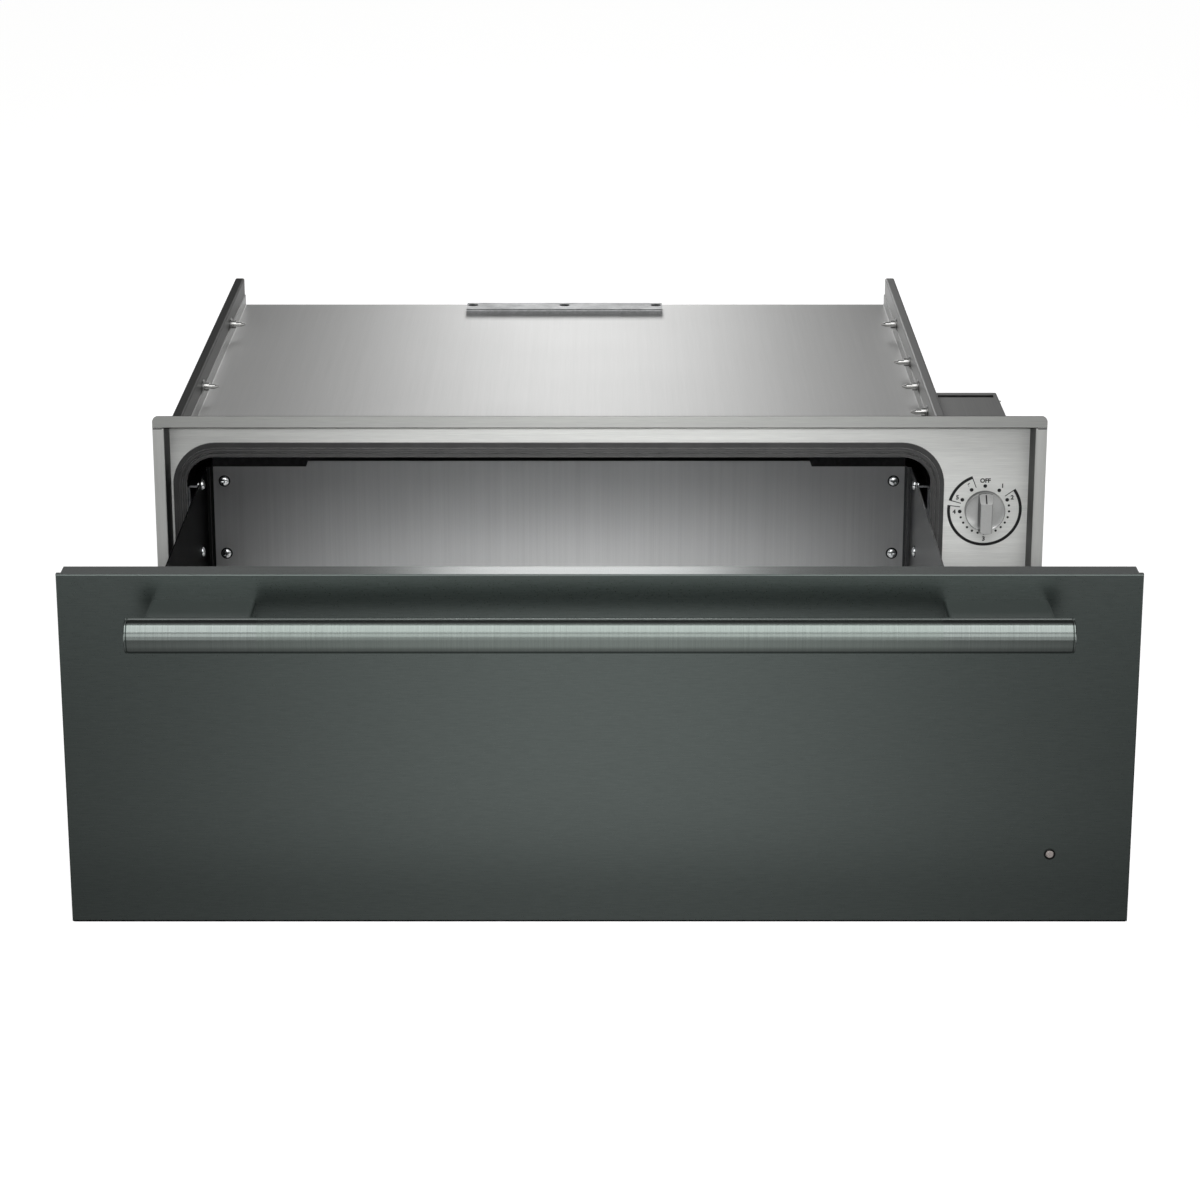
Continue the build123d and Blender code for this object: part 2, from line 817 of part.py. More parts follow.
def thermal_cutout():
    """A disc thermostat on the liner's back, with its flange and two spades."""
    wall = liner_back + liner_sheet
    level = liner_floor + element_height
    end = wall + cutout_disc_length
    disc = fillet(rod_y(cutout_disc_radius, case_centre, wall, end, level).edges(), disc_edge)
    ears = Pos(case_centre, level) * SlotOverall(cutout_flange_length, cutout_flange_width)
    flange = along_y(ears, wall, wall + cutout_flange_sheet)
    body = disc + flange
    for side in (-1, 1):
        x = case_centre + side * cutout_disc_radius / 2
        body += block((x - spade_sheet / 2, x + spade_sheet / 2), (end - past, end + spade_length),
                      (level - spade_width / 2, level + spade_width / 2))
    return body


# Ball-bearing slides, drawn on the left in distances from the liner's side and from the slide's middle

outer_web = slide_bracket_sheet + slide_sheet / 2
outer_strip = outer_web + slide_sheet / 2 + cage_play + cage_sheet / 2
mid_web = outer_strip + cage_sheet / 2 + cage_play + slide_sheet / 2
inner_strip = mid_web + slide_sheet / 2 + cage_play + cage_sheet / 2
inner_web = slide_bay - slide_sheet / 2
curl_radius = ball_radius + race_play + slide_sheet / 2
outer_ball = mid_web + ball_radius + cage_play
inner_ball = outer_ball + 1.3 * ball_radius
inner_ball_level = slide_core + curl_radius
mid_level = inner_ball_level + curl_radius
outer_ball_level = mid_level + curl_radius
outer_level = outer_ball_level + curl_radius


def slide_section(web, level, ball, ball_level, start, sweep_angle):
    """A channel whose two edges curl round the balls."""
    points = [(ball, -level), (web, -level), (web, level), (ball, level)]
    channel = FilletPolyline(*points, radius=slide_bend)
    upper = CenterArc((ball, ball_level), curl_radius, start, -sweep_angle)
    lower = CenterArc((ball, -ball_level), curl_radius, -start, sweep_angle)
    return trace([Wire([lower.edge(), *channel.edges(), upper.edge()])], line_width=slide_sheet)


def on_slide(section, start, end):
    """Carries a slide section along Y in its place on the left."""
    return along_y(Pos(case_centre - mouth_half, slide_height) * section, start, end)


def slide_outer():
    """The member fixed to the liner."""
    section = slide_section(outer_web, outer_level, outer_ball, outer_ball_level, 90, curl_sweep)
    return on_slide(section, slide_front, slide_front + slide_length)


def slide_mid():
    """The member between, halfway out."""
    start = slide_front + slide_mid_shorter / 2 - travel / 2
    section = slide_section(mid_web, mid_level, inner_ball, inner_ball_level, 90, curl_sweep)
    return on_slide(section, start, start + slide_length - slide_mid_shorter)


def slide_inner():
    """The member fixed to the pan, all the way out."""
    section = slide_section(inner_web, slide_core, inner_ball, inner_ball_level, -90, inner_curl_sweep)
    slide = on_slide(section, pan_back_end - slide_length, pan_back_end)
    web = case_centre - mouth_half + slide_bay
    for y in slide_screw_rows():
        slide -= rod_x(pan_screw_shank / 2 + hole_play, web - slide_sheet - past, web + past, y, slide_height)
    return slide


def ball_cage(strip, ball, ball_level, start):
    """A thin strip folded over at both edges, with its balls in their holes."""
    reach = ball + ball_radius - race_play
    points = [(reach, -ball_level), (strip, -ball_level), (strip, ball_level), (reach, ball_level)]
    cage = on_slide(sheet(points, cage_sheet, cage_sheet), start, start + cage_length)
    spacing = (cage_length - 2 * cage_margin) / (cage_balls - 1)
    balls = []
    x = case_centre - mouth_half + ball
    for count in range(cage_balls):
        for side in (-1, 1):
            place = (x, start + cage_margin + count * spacing, slide_height + side * ball_level)
            cage -= Pos(*place) * Cylinder(ball_radius + hole_play, 4 * cage_sheet)
            balls.append(Pos(*place) * Sphere(ball_radius))
    return group([cage, *balls])


def outer_cage():
    """The balls between the outer and middle members, a quarter of the way out."""
    return ball_cage(outer_strip, outer_ball, outer_ball_level, slide_front + cage_margin)


def inner_cage():
    """The balls between the middle and inner members, three quarters of the way out."""
    return ball_cage(inner_strip, inner_ball, inner_ball_level, pan_back_end - cage_margin - cage_length)


def slide_bracket():
    """The angle that carries the outer member on the liner's side."""
    wall = case_centre - mouth_half
    low = slide_height - outer_level
    top = low + slide_bracket_height - slide_bracket_sheet / 2
    middle = wall + slide_bracket_sheet / 2
    points = [(middle, low), (middle, top), (wall + slide_bracket_ledge, top)]
    section = sheet(points, slide_bracket_sheet)
    return along_y(section, slide_front + slide_front_gap, slide_front + slide_length)


# Pan

def pan_side():
    """Left wall: front flange on the plinth, joggled flange behind the pan's back."""
    wall = case_centre - pan_half + pan_sheet / 2
    inner = wall + pan_sheet / 2
    front = pan_front + pan_sheet / 2
    middle = pan_back + pan_sheet / 2
    strip = inner + seam_strip - pan_sheet / 2
    points = [(inner + pan_front_flange, front), (wall, front), (wall, middle), (strip, middle),
              (strip, middle + seam_depth), (inner + pan_flange, middle + seam_depth)]
    side = along_z(sheet(points, pan_sheet, pan_bend), pan_floor_height, pan_top)
    side += block((inner, inner + pan_floor_flange), (pan_front + pan_sheet, pan_back - pan_sheet),
                  (pan_floor_height, pan_floor_height + pan_sheet))
    hole = pan_screw_shank / 2 + hole_play
    for y in slide_screw_rows():
        side -= rod_x(hole, wall - pan_sheet - past, wall + pan_sheet + past, y, slide_height)
    side -= rod_x(hole, wall - pan_sheet - past, wall + pan_sheet + past, *wall_screw_place())
    for z in pan_screw_levels():
        side -= rod_y(hole, pan_screw_x(), pan_back, pan_back + 2 * seam_depth, z)
    return side


def pan_screw_levels():
    """Heights of the screws in the pan's back, from the top down."""
    return [pan_top - pan_screw_top - step * pan_screw_pitch for step in range(pan_screw_rows)]


def pan_screw_x():
    """The left column of screws in the pan's back."""
    return case_centre - pan_inner_half + pan_screw_in


def slide_screw_rows():
    """Where the slide's inner member is screwed to the pan's side."""
    first = pan_back - slide_screw_from_back
    return [first - step * min(slide_screw_pitch, slide_length / slide_screw_count)
            for step in range(slide_screw_count)]


def wall_screw_place():
    """The screw near the top edge of the pan's side."""
    return pan_back - wall_screw_from_back, pan_top - wall_screw_top


def pan_back_panel():
    """The pan's back, with a dimple behind each screw that seats it on the side flanges."""
    half = pan_inner_half - seam_strip - seam_gap
    low = pan_floor_height + 2 * pan_sheet + edge_play
    panel = block((case_centre - half, case_centre + half), (pan_back, pan_back_end),
                  (low, pan_top + pan_back_rise))
    for z in pan_screw_levels():
        for x in (pan_screw_x(), 2 * case_centre - pan_screw_x()):
            panel += rod_y(pan_screw_shank, x, pan_back_end, pan_back + seam_depth, z)
            panel -= rod_y(pan_screw_shank / 2 + hole_play, x, pan_back - past,
                           pan_back + seam_depth + past, z)
    return panel


def pan_floor():
    """The pan's floor, pressed with shallow beads that stiffen it."""
    half = pan_inner_half - edge_play
    low = pan_floor_height + pan_sheet
    floor = block((case_centre - half, case_centre + half), (pan_front + pan_sheet, pan_back - edge_play),
                  (low, low + pan_sheet))
    length = pan_back - pan_front - 2 * floor_bead_margin
    pitch = 2 * (half - floor_bead_margin) / (floor_bead_count - 1)
    for count in range(floor_bead_count):
        x = case_centre - half + floor_bead_margin + count * pitch
        place = Pos(x, (pan_front + pan_back) / 2)
        bead = place * Rot(0, 0, 90) * SlotOverall(length, floor_bead_width)
        groove = place * Rot(0, 0, 90) * SlotOverall(length - 2 * pan_sheet, floor_bead_width - 2 * pan_sheet)
        floor += along_z(bead, low + pan_sheet, low + pan_sheet + floor_bead_depth)
        floor -= along_z(groove, low - past, low + floor_bead_depth)
    return floor


def drawer_screws():
    """The screws inside the pan: in its back, near its side edges and through to the slides."""
    head, height, shank = pan_screw_head / 2, pan_screw_head_height, pan_screw_shank / 2
    wall = case_centre - pan_inner_half
    long_screw = screw(head, height, shank, seam_depth + 3 * pan_sheet)
    short_screw = screw(head, height, shank, pan_sheet + slide_sheet + pan_screw_through)
    left = [facing(long_screw, (pan_screw_x(), pan_back, z), (0, -1, 0)) for z in pan_screw_levels()]
    left += [facing(short_screw, (wall, y, slide_height), (1, 0, 0)) for y in slide_screw_rows()]
    left.append(facing(short_screw, (wall, *wall_screw_place()), (1, 0, 0)))
    return group(left + [across(piece) for piece in left])


# Drawer front

def panel_outline(inset=0.0):
    """The front's outline in (X, Z)."""
    height = panel_top - panel_bottom - 2 * inset
    return Pos(0, (panel_top + panel_bottom) / 2) * Rectangle(panel_width - 2 * inset, height)


def handle_screw_places():
    """The screws that hold the handle, two in each mount."""
    middle = sleeve_start + mount_from_sleeve + mount_length / 2
    return [side * middle + step * handle_screw_pitch / 2 for side in (-1, 1) for step in (-1, 1)]


def front_skin():
    """The face with a shallow lip folded back all round, and holes for handle and lamp."""
    skin = along_y(panel_outline(), panel_face, panel_face + lip_depth)
    skin = fillet(near(skin.edges(), Axis.Y, panel_face), skin_edge)
    skin -= along_y(panel_outline(skin_sheet), skin_inside, panel_face + lip_depth + past)
    for x in handle_screw_places():
        skin -= rod_y(handle_screw / 2 + hole_play, x, panel_face - past, skin_inside + past, bar_z)
    return skin - rod_y(bezel_hole + hole_play, lamp_x, panel_face - past, skin_inside + past, lamp_z)


def front_frame():
    """The folded frame behind the skin, with a flange round its open back."""
    wall = along_y(panel_outline(lip_overhang), skin_inside, panel_back)
    wall -= along_y(panel_outline(lip_overhang + frame_sheet), skin_inside - past, panel_back - frame_sheet)
    return wall - along_y(panel_outline(frame_flange), panel_back - frame_sheet - past, panel_back + past)


def plinth_outline(inset=0.0):
    """The raised part of the inner panel, which covers the gasket when closed."""
    return mouth_outline(gasket_width - plinth_inset - inset)


def front_liner():
    """The inner panel: a flat border behind the frame's flange and a raised, rounded plinth."""
    back = panel_back - frame_sheet
    border = lip_overhang + frame_sheet + edge_play
    panel = along_y(panel_outline(border), back - plinth_sheet, back)
    plinth = along_y(plinth_outline(), back - plinth_sheet, plinth_back)
    plinth = fillet(near(plinth.edges(), Axis.Y, plinth_back), plinth_edge)
    hollow = along_y(plinth_outline(plinth_sheet), back - plinth_sheet - past, plinth_back - plinth_sheet)
    hollow = fillet(near(hollow.edges(), Axis.Y, plinth_back - plinth_sheet), plinth_edge - plinth_sheet)
    return panel + plinth - hollow


def front_insulation():
    """Glass wool that fills the frame and the plinth, cut away round the lamp."""
    back = panel_back - frame_sheet - plinth_sheet - front_pad_play
    border = lip_overhang + frame_sheet + front_pad_play
    wool = along_y(panel_outline(border), skin_inside + front_pad_gap, back)
    core = plinth_outline(plinth_sheet + plinth_edge)
    filling = along_y(core, back, plinth_back - plinth_sheet - front_pad_play)
    return wool + filling - rod_y(lamp_radius + lamp_room, lamp_x, skin_inside, back + past, lamp_z)


def handle_bar():
    """The middle tube, stepped down at each end to enter the sleeves."""
    spigot = bar_radius - bar_wall - sleeve_play
    bar = rod_x(bar_radius, -sleeve_start, sleeve_start, bar_y, bar_z)
    bar += rod_x(spigot, -sleeve_start - spigot_length, sleeve_start + spigot_length, bar_y, bar_z)
    return bar - rod_x(spigot - bar_wall, -bar_half, bar_half, bar_y, bar_z)


def handle_sleeve(side):
    """An end sleeve with a closed, chamfered cap marked off by a fine groove."""
    inner = bar_radius - bar_wall
    profile = Polyline((0, bar_half - 2 * cap_thickness), (inner, bar_half - 2 * cap_thickness),
                       (inner, sleeve_start), (bar_radius, sleeve_start),
                       (bar_radius, bar_half - cap_thickness - cap_groove),
                       (bar_radius - cap_groove, bar_half - cap_thickness),
                       (bar_radius, bar_half - cap_thickness + cap_groove),
                       (bar_radius, bar_half - cap_groove), (bar_radius - cap_groove, bar_half),
                       (0, bar_half), close=True)
    turned = revolve(Plane.XZ * make_face(profile), Axis.Z)
    return Pos(0, bar_y, bar_z) * Rot(0, side * 90, 0) * turned


def handle_mount(side):
    """A block from the panel's face to the bar, hollowed to seat the sleeve."""
    start = sleeve_start + mount_from_sleeve
    reach = sorted((side * start, side * (start + mount_length)))
    body = block(reach, (bar_y, panel_face), (bar_z - mount_height / 2, bar_z + mount_height / 2))
    body = fillet(body.edges().filter_by(Axis.Y), mount_corner)
    body -= rod_x(bar_radius + sleeve_play, reach[0] - past, reach[1] + past, bar_y, bar_z)
    body -= block((reach[0] - past, reach[1] + past), (bar_y - past, bar_y + bar_radius * bar_seat_open),
                  (bar_z - mount_height, bar_z + mount_height))
    for x in handle_screw_places():
        body -= rod_y(handle_screw / 2, x, panel_face - handle_screw_bite, panel_face + past, bar_z)
    return body


def handle_screws():
    """Four screws driven from behind the skin into the mounts."""
    shank = handle_screw / 2 - hole_play / 2
    reach = handle_screw_bite + skin_sheet - handle_screw_end
    bolt = screw(handle_screw_head / 2, handle_screw_head_height, shank, reach)
    return group([facing(bolt, (x, skin_inside, bar_z), (0, 1, 0)) for x in handle_screw_places()])


def indicator_bezel():
    """A small turned ring through the skin."""
    bezel = rod_y(bezel_radius, lamp_x, panel_face - bezel_proud, panel_face, lamp_z)
    bezel = fillet(near(bezel.edges(), Axis.Y, panel_face - bezel_proud), bezel_proud / 2)
    bezel += rod_y(bezel_hole, lamp_x, panel_face, panel_face + bezel_length, lamp_z)
    front, back = panel_face - bezel_proud - past, panel_face + bezel_length + past
    return bezel - rod_y(lens_radius + hole_play, lamp_x, front, back, lamp_z)


def indicator_lens():
    """A clear rod with a domed end."""
    lens = rod_y(lens_radius, lamp_x, panel_face - lens_proud, panel_face + bezel_length, lamp_z)
    return fillet(near(lens.edges(), Axis.Y, panel_face - lens_proud), lens_dome)


def indicator_lamp():
    """The neon lamp's holder behind the lens."""
    start = panel_face + bezel_length
    end = start + lamp_length
    lamp = fillet(rod_y(lamp_radius, lamp_x, start, end, lamp_z).edges(), lamp_edge)
    for side in (-1, 1):
        x = lamp_x + side * lamp_radius / 2
        lamp += block((x - lamp_wire / 2, x + lamp_wire / 2), (end - past, end + lamp_wire_out),
                      (lamp_z - lamp_wire_width / 2, lamp_z + lamp_wire_width / 2))
    return lamp


# Knob, shaft, switch and control box

def shaft_section(grow=0.0):
    """A round shaft with one flat, seen along Y."""
    round_part = Circle(shaft_radius + grow)
    beyond_flat = Rectangle(8 * shaft_radius, 2 * shaft_radius)
    return round_part - Pos(0, 2 * shaft_radius - shaft_flat + grow) * beyond_flat


def knob_disc():
    """The knob's disc, with a shallow dish in its face."""
    rim = knob_radius - knob_rim
    low = knob_skirt - knob_dish
    shoulder = knob_skirt - knob_edge
    foot = Polyline((0, low), (0, 0), (knob_radius, 0), (knob_radius, shoulder), (rim, knob_skirt))
    turn = (rim * knob_dish_turn, low + knob_dish * knob_dish_lift)
    hollow = [(rim, knob_skirt), turn, (0, low)]
    dish = Spline(hollow, tangents=[(-1, -0.4), (-1, 0)])
    return revolve(Plane.XZ * make_face(foot.edges() + dish.edges()), Axis.Z)


def knob_handle():
    """The tapered grip across the disc, whose top end slopes down to the pointer."""
    root, crest = knob_grip_root / 2, knob_grip_crest / 2
    taper = make_face(Polyline((-root, 0), (root, 0), (crest, knob_depth), (-crest, knob_depth), close=True))
    bar = extrude(Plane.XZ.offset(-2 * knob_radius) * taper, amount=4 * knob_radius)
    bar &= Cylinder(knob_radius - knob_grip_trim, 3 * knob_depth)
    high = knob_radius + past
    slope = Polyline((high, knob_skirt), (high, knob_depth + past), (high - knob_bevel, knob_depth + past),
                     (high - knob_bevel, knob_depth), close=True)
    bar -= extrude(Plane.YZ.offset(-knob_radius) * make_face(slope), amount=2 * knob_radius)
    crest_edges = bar.edges().filter_by(Axis.Y).filter_by(lambda edge: edge.center().Z > knob_skirt)
    return fillet(crest_edges, knob_edge)


def control_knob():
    """The disc with its grip, bored for the shaft."""
    bore = extrude(shaft_section(shaft_play), amount=knob_depth - knob_cap)
    knob = knob_disc() + knob_handle() - bore
    return facing(knob, (knob_x, collar_depth - knob_play, knob_z), (0, -1, 0))


def selector_shaft():
    """The switch's shaft, with its flat and the pointer turned to off."""
    front = collar_depth - knob_play - knob_depth + knob_cap + shaft_end_play
    end = fascia_back + shaft_reach
    flat = extrude(shaft_section(), amount=fascia_back + past - front)
    round_end = rod_y(shaft_radius, knob_x, fascia_back + past, end, knob_z)
    return facing(flat, (knob_x, fascia_back + past, knob_z), (0, -1, 0)) + round_end


def heat_regulator():
    """The switch behind the fascia, with its collar, bore and spade terminals."""
    half = switch_width / 2
    body = block((knob_x - half, knob_x + half), (fascia_back, fascia_back + switch_depth),
                 (knob_z - switch_height / 2, knob_z + switch_height / 2))
    body = fillet(body.edges().filter_by(Axis.Y), switch_corner)
    body += rod_y(switch_collar, knob_x, fascia_back - switch_collar_length, fascia_back, knob_z)
    body -= rod_y(shaft_radius + shaft_play, knob_x, fascia_back - 2 * past,
                  fascia_back + shaft_reach + past, knob_z)
    back = fascia_back + switch_depth
    for column in (-1, 1):
        for row in (-1, 0, 1):
            x, z = knob_x + column * half * switch_column, knob_z + row * switch_height * switch_row
            body += block((x - spade_sheet / 2, x + spade_sheet / 2), (back, back + spade_length),
                          (z - spade_width / 2, z + spade_width / 2))
    return body


def control_box():
    """Floor, outer wall and back of the box beside the oven."""
    left = case_right + edge_play
    wall = box_right - case_sheet / 2
    back = box_back - case_sheet / 2
    top = box_top - case_sheet - case_bend
    section = sheet([(left, box_floor), (wall, box_floor), (wall, top)], case_sheet)
    box = along_y(section, case_front, box_back)
    box += block((left, box_right - case_sheet), (back - case_sheet / 2, box_back), (box_floor, top))
    return box - box_screw_hole()


def control_box_lid():
    """The lid with its slot for the leads and a flange down the outer wall."""
    left = case_right + edge_play
    wall = box_right + case_sheet / 2
    top = box_top - case_sheet / 2
    lid = along_y(sheet([(left, top), (wall, top), (wall, top - box_lid_flange)], case_sheet),
                  case_front + edge_play, box_back)
    lid -= box_screw_hole()
    return lid - block((left - past, box_right - box_slot_end), (box_slot_front, box_slot_back),
                       (top - case_sheet - past, top + case_sheet + past))


def power_inlet_bushing():
    """A round grommet for the supply lead, open through its middle."""
    x = inlet_x()
    flange = rod_y(inlet_flange_radius, x, case_depth, case_depth + inlet_flange, inlet_height)
    flange = fillet(near(flange.edges(), Axis.Y, case_depth + inlet_flange), inlet_flange / 2)
    end = case_depth + inlet_flange
    barrel = rod_y(inlet_radius, x, end - inlet_length, case_depth, inlet_height)
    return flange + barrel - rod_y(inlet_bore, x, end - inlet_length - past, end + past, inlet_height)


parts = {
    "frame_top": frame_top(),
    "frame_bottom": frame_bottom(),
    "frame_left": frame_side(-1),
    "frame_right": frame_side(1),
    "fascia": fascia(),
    "door_gasket": door_gasket(),
    "drawer_stops": drawer_stops(),
    "base_pan": base_pan(),
    "side_panel_left": side_panel(screws_left),
    "side_panel_right": across(side_panel(screws_right)),
    "rear_panel": rear_panel(),
    "top_cover": top_cover(),
    "top_bracket": top_bracket(),
    "case_screws": case_screws(),
    "cover_screws": cover_screws(),
    "cavity_liner": cavity_liner(),
    "liner_insulation": liner_insulation(),
    "heating_element": heating_element(),
    "element_clips": element_clips(),
    "element_terminals": element_terminals(),
    "thermal_cutout": thermal_cutout(),
    "control_box": control_box(),
    "control_box_lid": control_box_lid(),
    "heat_regulator": heat_regulator(),
    "power_inlet_bushing": power_inlet_bushing(),
    "front_skin": front_skin(),
    "front_frame": front_frame(),
    "front_liner": front_liner(),
    "front_insulation": front_insulation(),
    "handle_bar": handle_bar(),
    "handle_screws": handle_screws(),
    "indicator_bezel": indicator_bezel(),
    "indicator_lens": indicator_lens(),
    "indicator_lamp": indicator_lamp(),
    "pan_floor": pan_floor(),
    "pan_back": pan_back_panel(),
    "drawer_screws": drawer_screws(),
    "control_knob": control_knob(),
    "selector_shaft": selector_shaft(),
}
for name, side in (("left", -1), ("right", 1)):
    parts["handle_sleeve_" + name] = handle_sleeve(side)
    parts["handle_mount_" + name] = handle_mount(side)

# Pieces alike on both sides of the case's middle
for name, piece in {
    "pan_side": pan_side(),
    "slide_bracket": slide_bracket(),
    "slide_outer": slide_outer(),
    "slide_mid": slide_mid(),
    "slide_inner": slide_inner(),
    "ball_cage_outer": outer_cage(),
    "ball_cage_inner": inner_cage(),
}.items():
    parts[name + "_left"] = piece
    parts[name + "_right"] = across(piece)

os.makedirs("parts", exist_ok=True)
for name, piece in parts.items():
    export_step(piece, f"parts/{name}.step")
print(len(parts), "sub-parts; travel", round(travel, 2), "front face at", round(panel_face, 2))
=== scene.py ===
import math
import bpy
import bmesh
from mathutils import Matrix, Vector


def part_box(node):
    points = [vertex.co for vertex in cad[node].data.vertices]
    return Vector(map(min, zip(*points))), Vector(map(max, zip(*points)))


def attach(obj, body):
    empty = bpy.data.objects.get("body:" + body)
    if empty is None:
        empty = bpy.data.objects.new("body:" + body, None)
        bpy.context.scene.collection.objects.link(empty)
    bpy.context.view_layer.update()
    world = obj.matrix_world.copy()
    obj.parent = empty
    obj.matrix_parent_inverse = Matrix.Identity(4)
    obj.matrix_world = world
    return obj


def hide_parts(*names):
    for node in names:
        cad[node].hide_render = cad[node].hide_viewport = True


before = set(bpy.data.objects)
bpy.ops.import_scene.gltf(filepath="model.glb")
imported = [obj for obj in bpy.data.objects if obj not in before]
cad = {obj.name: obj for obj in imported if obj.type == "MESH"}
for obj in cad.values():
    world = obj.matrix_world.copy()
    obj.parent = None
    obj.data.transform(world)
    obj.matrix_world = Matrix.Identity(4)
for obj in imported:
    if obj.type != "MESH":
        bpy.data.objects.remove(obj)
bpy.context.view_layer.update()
print("frame loaded:", len(cad), "pieces")


# general helpers

def toLinear(hexCode):
    # sRGB hex to the linear colour that the sockets take
    channels = [int(hexCode[i:i + 2], 16) / 255 for i in (1, 3, 5)]
    linear = [c / 12.92 if c <= 0.04045 else ((c + 0.055) / 1.055) ** 2.4 for c in channels]
    return (*linear, 1.0)


def addNode(tree, kind, settings=None, links=None, stops=()):
    # one shader node: settings by attribute or socket, links from a socket or from a node's first
    # output, and for a ramp its stops, each a place and a grey or a hex colour
    node = tree.nodes.new("ShaderNode" + kind)
    for key, value in (settings or {}).items():
        if isinstance(key, int) or key in node.inputs:
            node.inputs[key].default_value = value
        else:
            setattr(node, key, value)
    for key, source in (links or {}).items():
        tree.links.new(getattr(source, "outputs", [source])[0], node.inputs[key])
    if stops:
        elements = node.color_ramp.elements
        while len(elements) < len(stops):
            elements.new(0.5)   # anywhere, it gets its place below
        for element, (place, tone) in zip(elements, stops):
            element.position = place
            element.color = toLinear(tone) if isinstance(tone, str) else (tone, tone, tone, 1.0)
    return node


def makeMaterial(name, surface, look):
    # surface is one of the functions below and returns the shader node that the material shows
    material = bpy.data.materials.new(name)
    material.use_nodes = True
    tree = material.node_tree
    tree.nodes.clear()
    addNode(tree, "OutputMaterial", links={"Surface": surface(tree, look)})
    return material


def addObject(name, data):
    item = bpy.data.objects.new(name, data)
    bpy.context.scene.collection.objects.link(item)
    return item


def meshFrom(bm, name):
    mesh = bpy.data.meshes.new(name)
    bm.to_mesh(mesh)
    bm.free()
    return mesh


def finishPiece(name, data, body, material, place=None, smooth=False):
    # a new piece in its place, with its material and the body that carries it
    piece = addObject(name, data)
    if place:
        piece.matrix_world = place
    data.materials.append(materials[material])
    for polygon in getattr(data, "polygons", ()):
        polygon.use_smooth = smooth
    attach(piece, body)
    return piece


# materials: in a look, pitches, lengths and sizes are millimetres, "wear" is how much smoother and how
# much rougher than its roughness a surface gets, and a span is the part of a noise that a ramp uses

noiseSpan = (0.3, 0.7)   # a noise seldom leaves this range
grainHeight = 0.0001   # metres, what the bump of a fine grain stands for
facingSpan = (0.25, 0.6)   # under the first a face is a wall, over the second it faces the main way


def toneStops(look):
    # the look's two tones at the ends of its pattern's range
    return list(zip(look.get("toneSpan", noiseSpan), (look["dark"], look["light"])))


def wearStops(look):
    # its roughness at the ends of a pattern's range
    smoother, rougher = look["wear"]
    ends = (look["roughness"] - smoother, look["roughness"] + rougher)
    return list(zip(look.get("wearSpan", noiseSpan), ends))


def paintedShadeOnWalls(tree, tone, look):
    # painted shade: a second, darker tone on the faces that turn from the main side, told apart by the
    # mesh's own normal, stands for the shade that falls on them; inputs 6 and 7 of the mix are its two
    # colours
    normal = addNode(tree, "NewGeometry").outputs["Normal"]
    facing = addNode(tree, "SeparateXYZ", links={"Vector": normal})
    frontal = addNode(tree, "Math", {"operation": "ABSOLUTE"}, {0: facing.outputs[look["mainSide"]]})
    wall = addNode(tree, "MapRange", {"From Min": facingSpan[0], "From Max": facingSpan[1],
                                      "To Min": 1.0, "To Max": 0.0}, {"Value": frontal})
    mix = addNode(tree, "Mix", {"data_type": "RGBA", 7: toLinear(look["wallShade"])}, {0: wall, 6: tone})
    return mix.outputs[2]


def brushedSteel(tree, look):
    # Ferritic stainless sheet, brushed by a belt: fine parallel scratches draw each highlight out
    # across themselves, so the sheet shows soft bands and thin light and dark streaks along the brushing.
    coords = addNode(tree, "TexCoord").outputs["Object"]
    stretch = [1000 / look["scratchPitch"]] * 3
    stretch["XYZ".index(look["brushing"])] = 1000 / look["scratchLength"]
    fine = addNode(tree, "Mapping", {"Scale": stretch}, {"Vector": coords})
    broad = addNode(tree, "Mapping", {"Scale": [pitch * look["bandScale"] for pitch in stretch]},
                    {"Vector": coords})
    scratches = addNode(tree, "TexNoise", {"Scale": 1.0, "Detail": 3.0, "Roughness": 0.6}, {"Vector": fine})
    bands = addNode(tree, "TexNoise", {"Scale": 1.0, "Detail": 2.0}, {"Vector": broad})
    clouds = addNode(tree, "TexNoise", {"Scale": look["cloudScale"], "Detail": 3.0}, {"Vector": coords})
    share = look["bandShare"]
    drift = addNode(tree, "Math", {"operation": "MULTIPLY_ADD", 1: share, 2: 0.5 - share / 2}, {0: bands})
    streaks = addNode(tree, "Math", {"operation": "MULTIPLY_ADD", 1: look["scratchShare"]},
                      {0: scratches, 2: drift})
    tone = addNode(tree, "ValToRGB", links={"Fac": streaks}, stops=toneStops(look))
    # painted shade on the walls, where the look has it
    if "wallShade" in look:
        tone = paintedShadeOnWalls(tree, tone, look)
    worn = addNode(tree, "ValToRGB", links={"Fac": clouds}, stops=wearStops(look))
    bump = addNode(tree, "Bump", {"Strength": look["scratchDepth"], "Distance": grainHeight},
                   {"Height": scratches})
    spread = {axis: 0.0 if axis == look["brushing"] else 1.0 for axis in "XYZ"}   # square to the scratches
    across = addNode(tree, "CombineXYZ", spread)
    return addNode(tree, "BsdfPrincipled",
                   {"Metallic": look["metallic"], "Anisotropic": look["anisotropy"],
                    "Specular Tint": [look["edgeTint"]] * 3 + [1.0]},
                   {"Base Color": tone, "Roughness": worn, "Normal": bump, "Tangent": across})


# the scratches are really about 0.05 mm apart, and drawn ten times coarser so that they show;
# the broad bands are the same pattern at bandScale, and the clouds are marks of handling, 9 to the metre;
# edgeTint is how much of its shine the metal keeps where it is seen nearly edge on
fasciaLook = {"brushing": "X", "scratchPitch": 0.5, "scratchLength": 22, "scratchDepth": 0.2,
              "scratchShare": 0.6, "bandScale": 0.12, "bandShare": 0.35, "toneSpan": (0.55, 1.05),
              "cloudScale": 9.0, "wear": (0.03, 0.03), "wearSpan": (0.1, 0.9), "edgeTint": 1.0,
              "mainSide": "Y", "dark": "#c6c7c5", "light": "#e4e5e2",
              "metallic": 0.4, "roughness": 0.45, "anisotropy": 0.8}
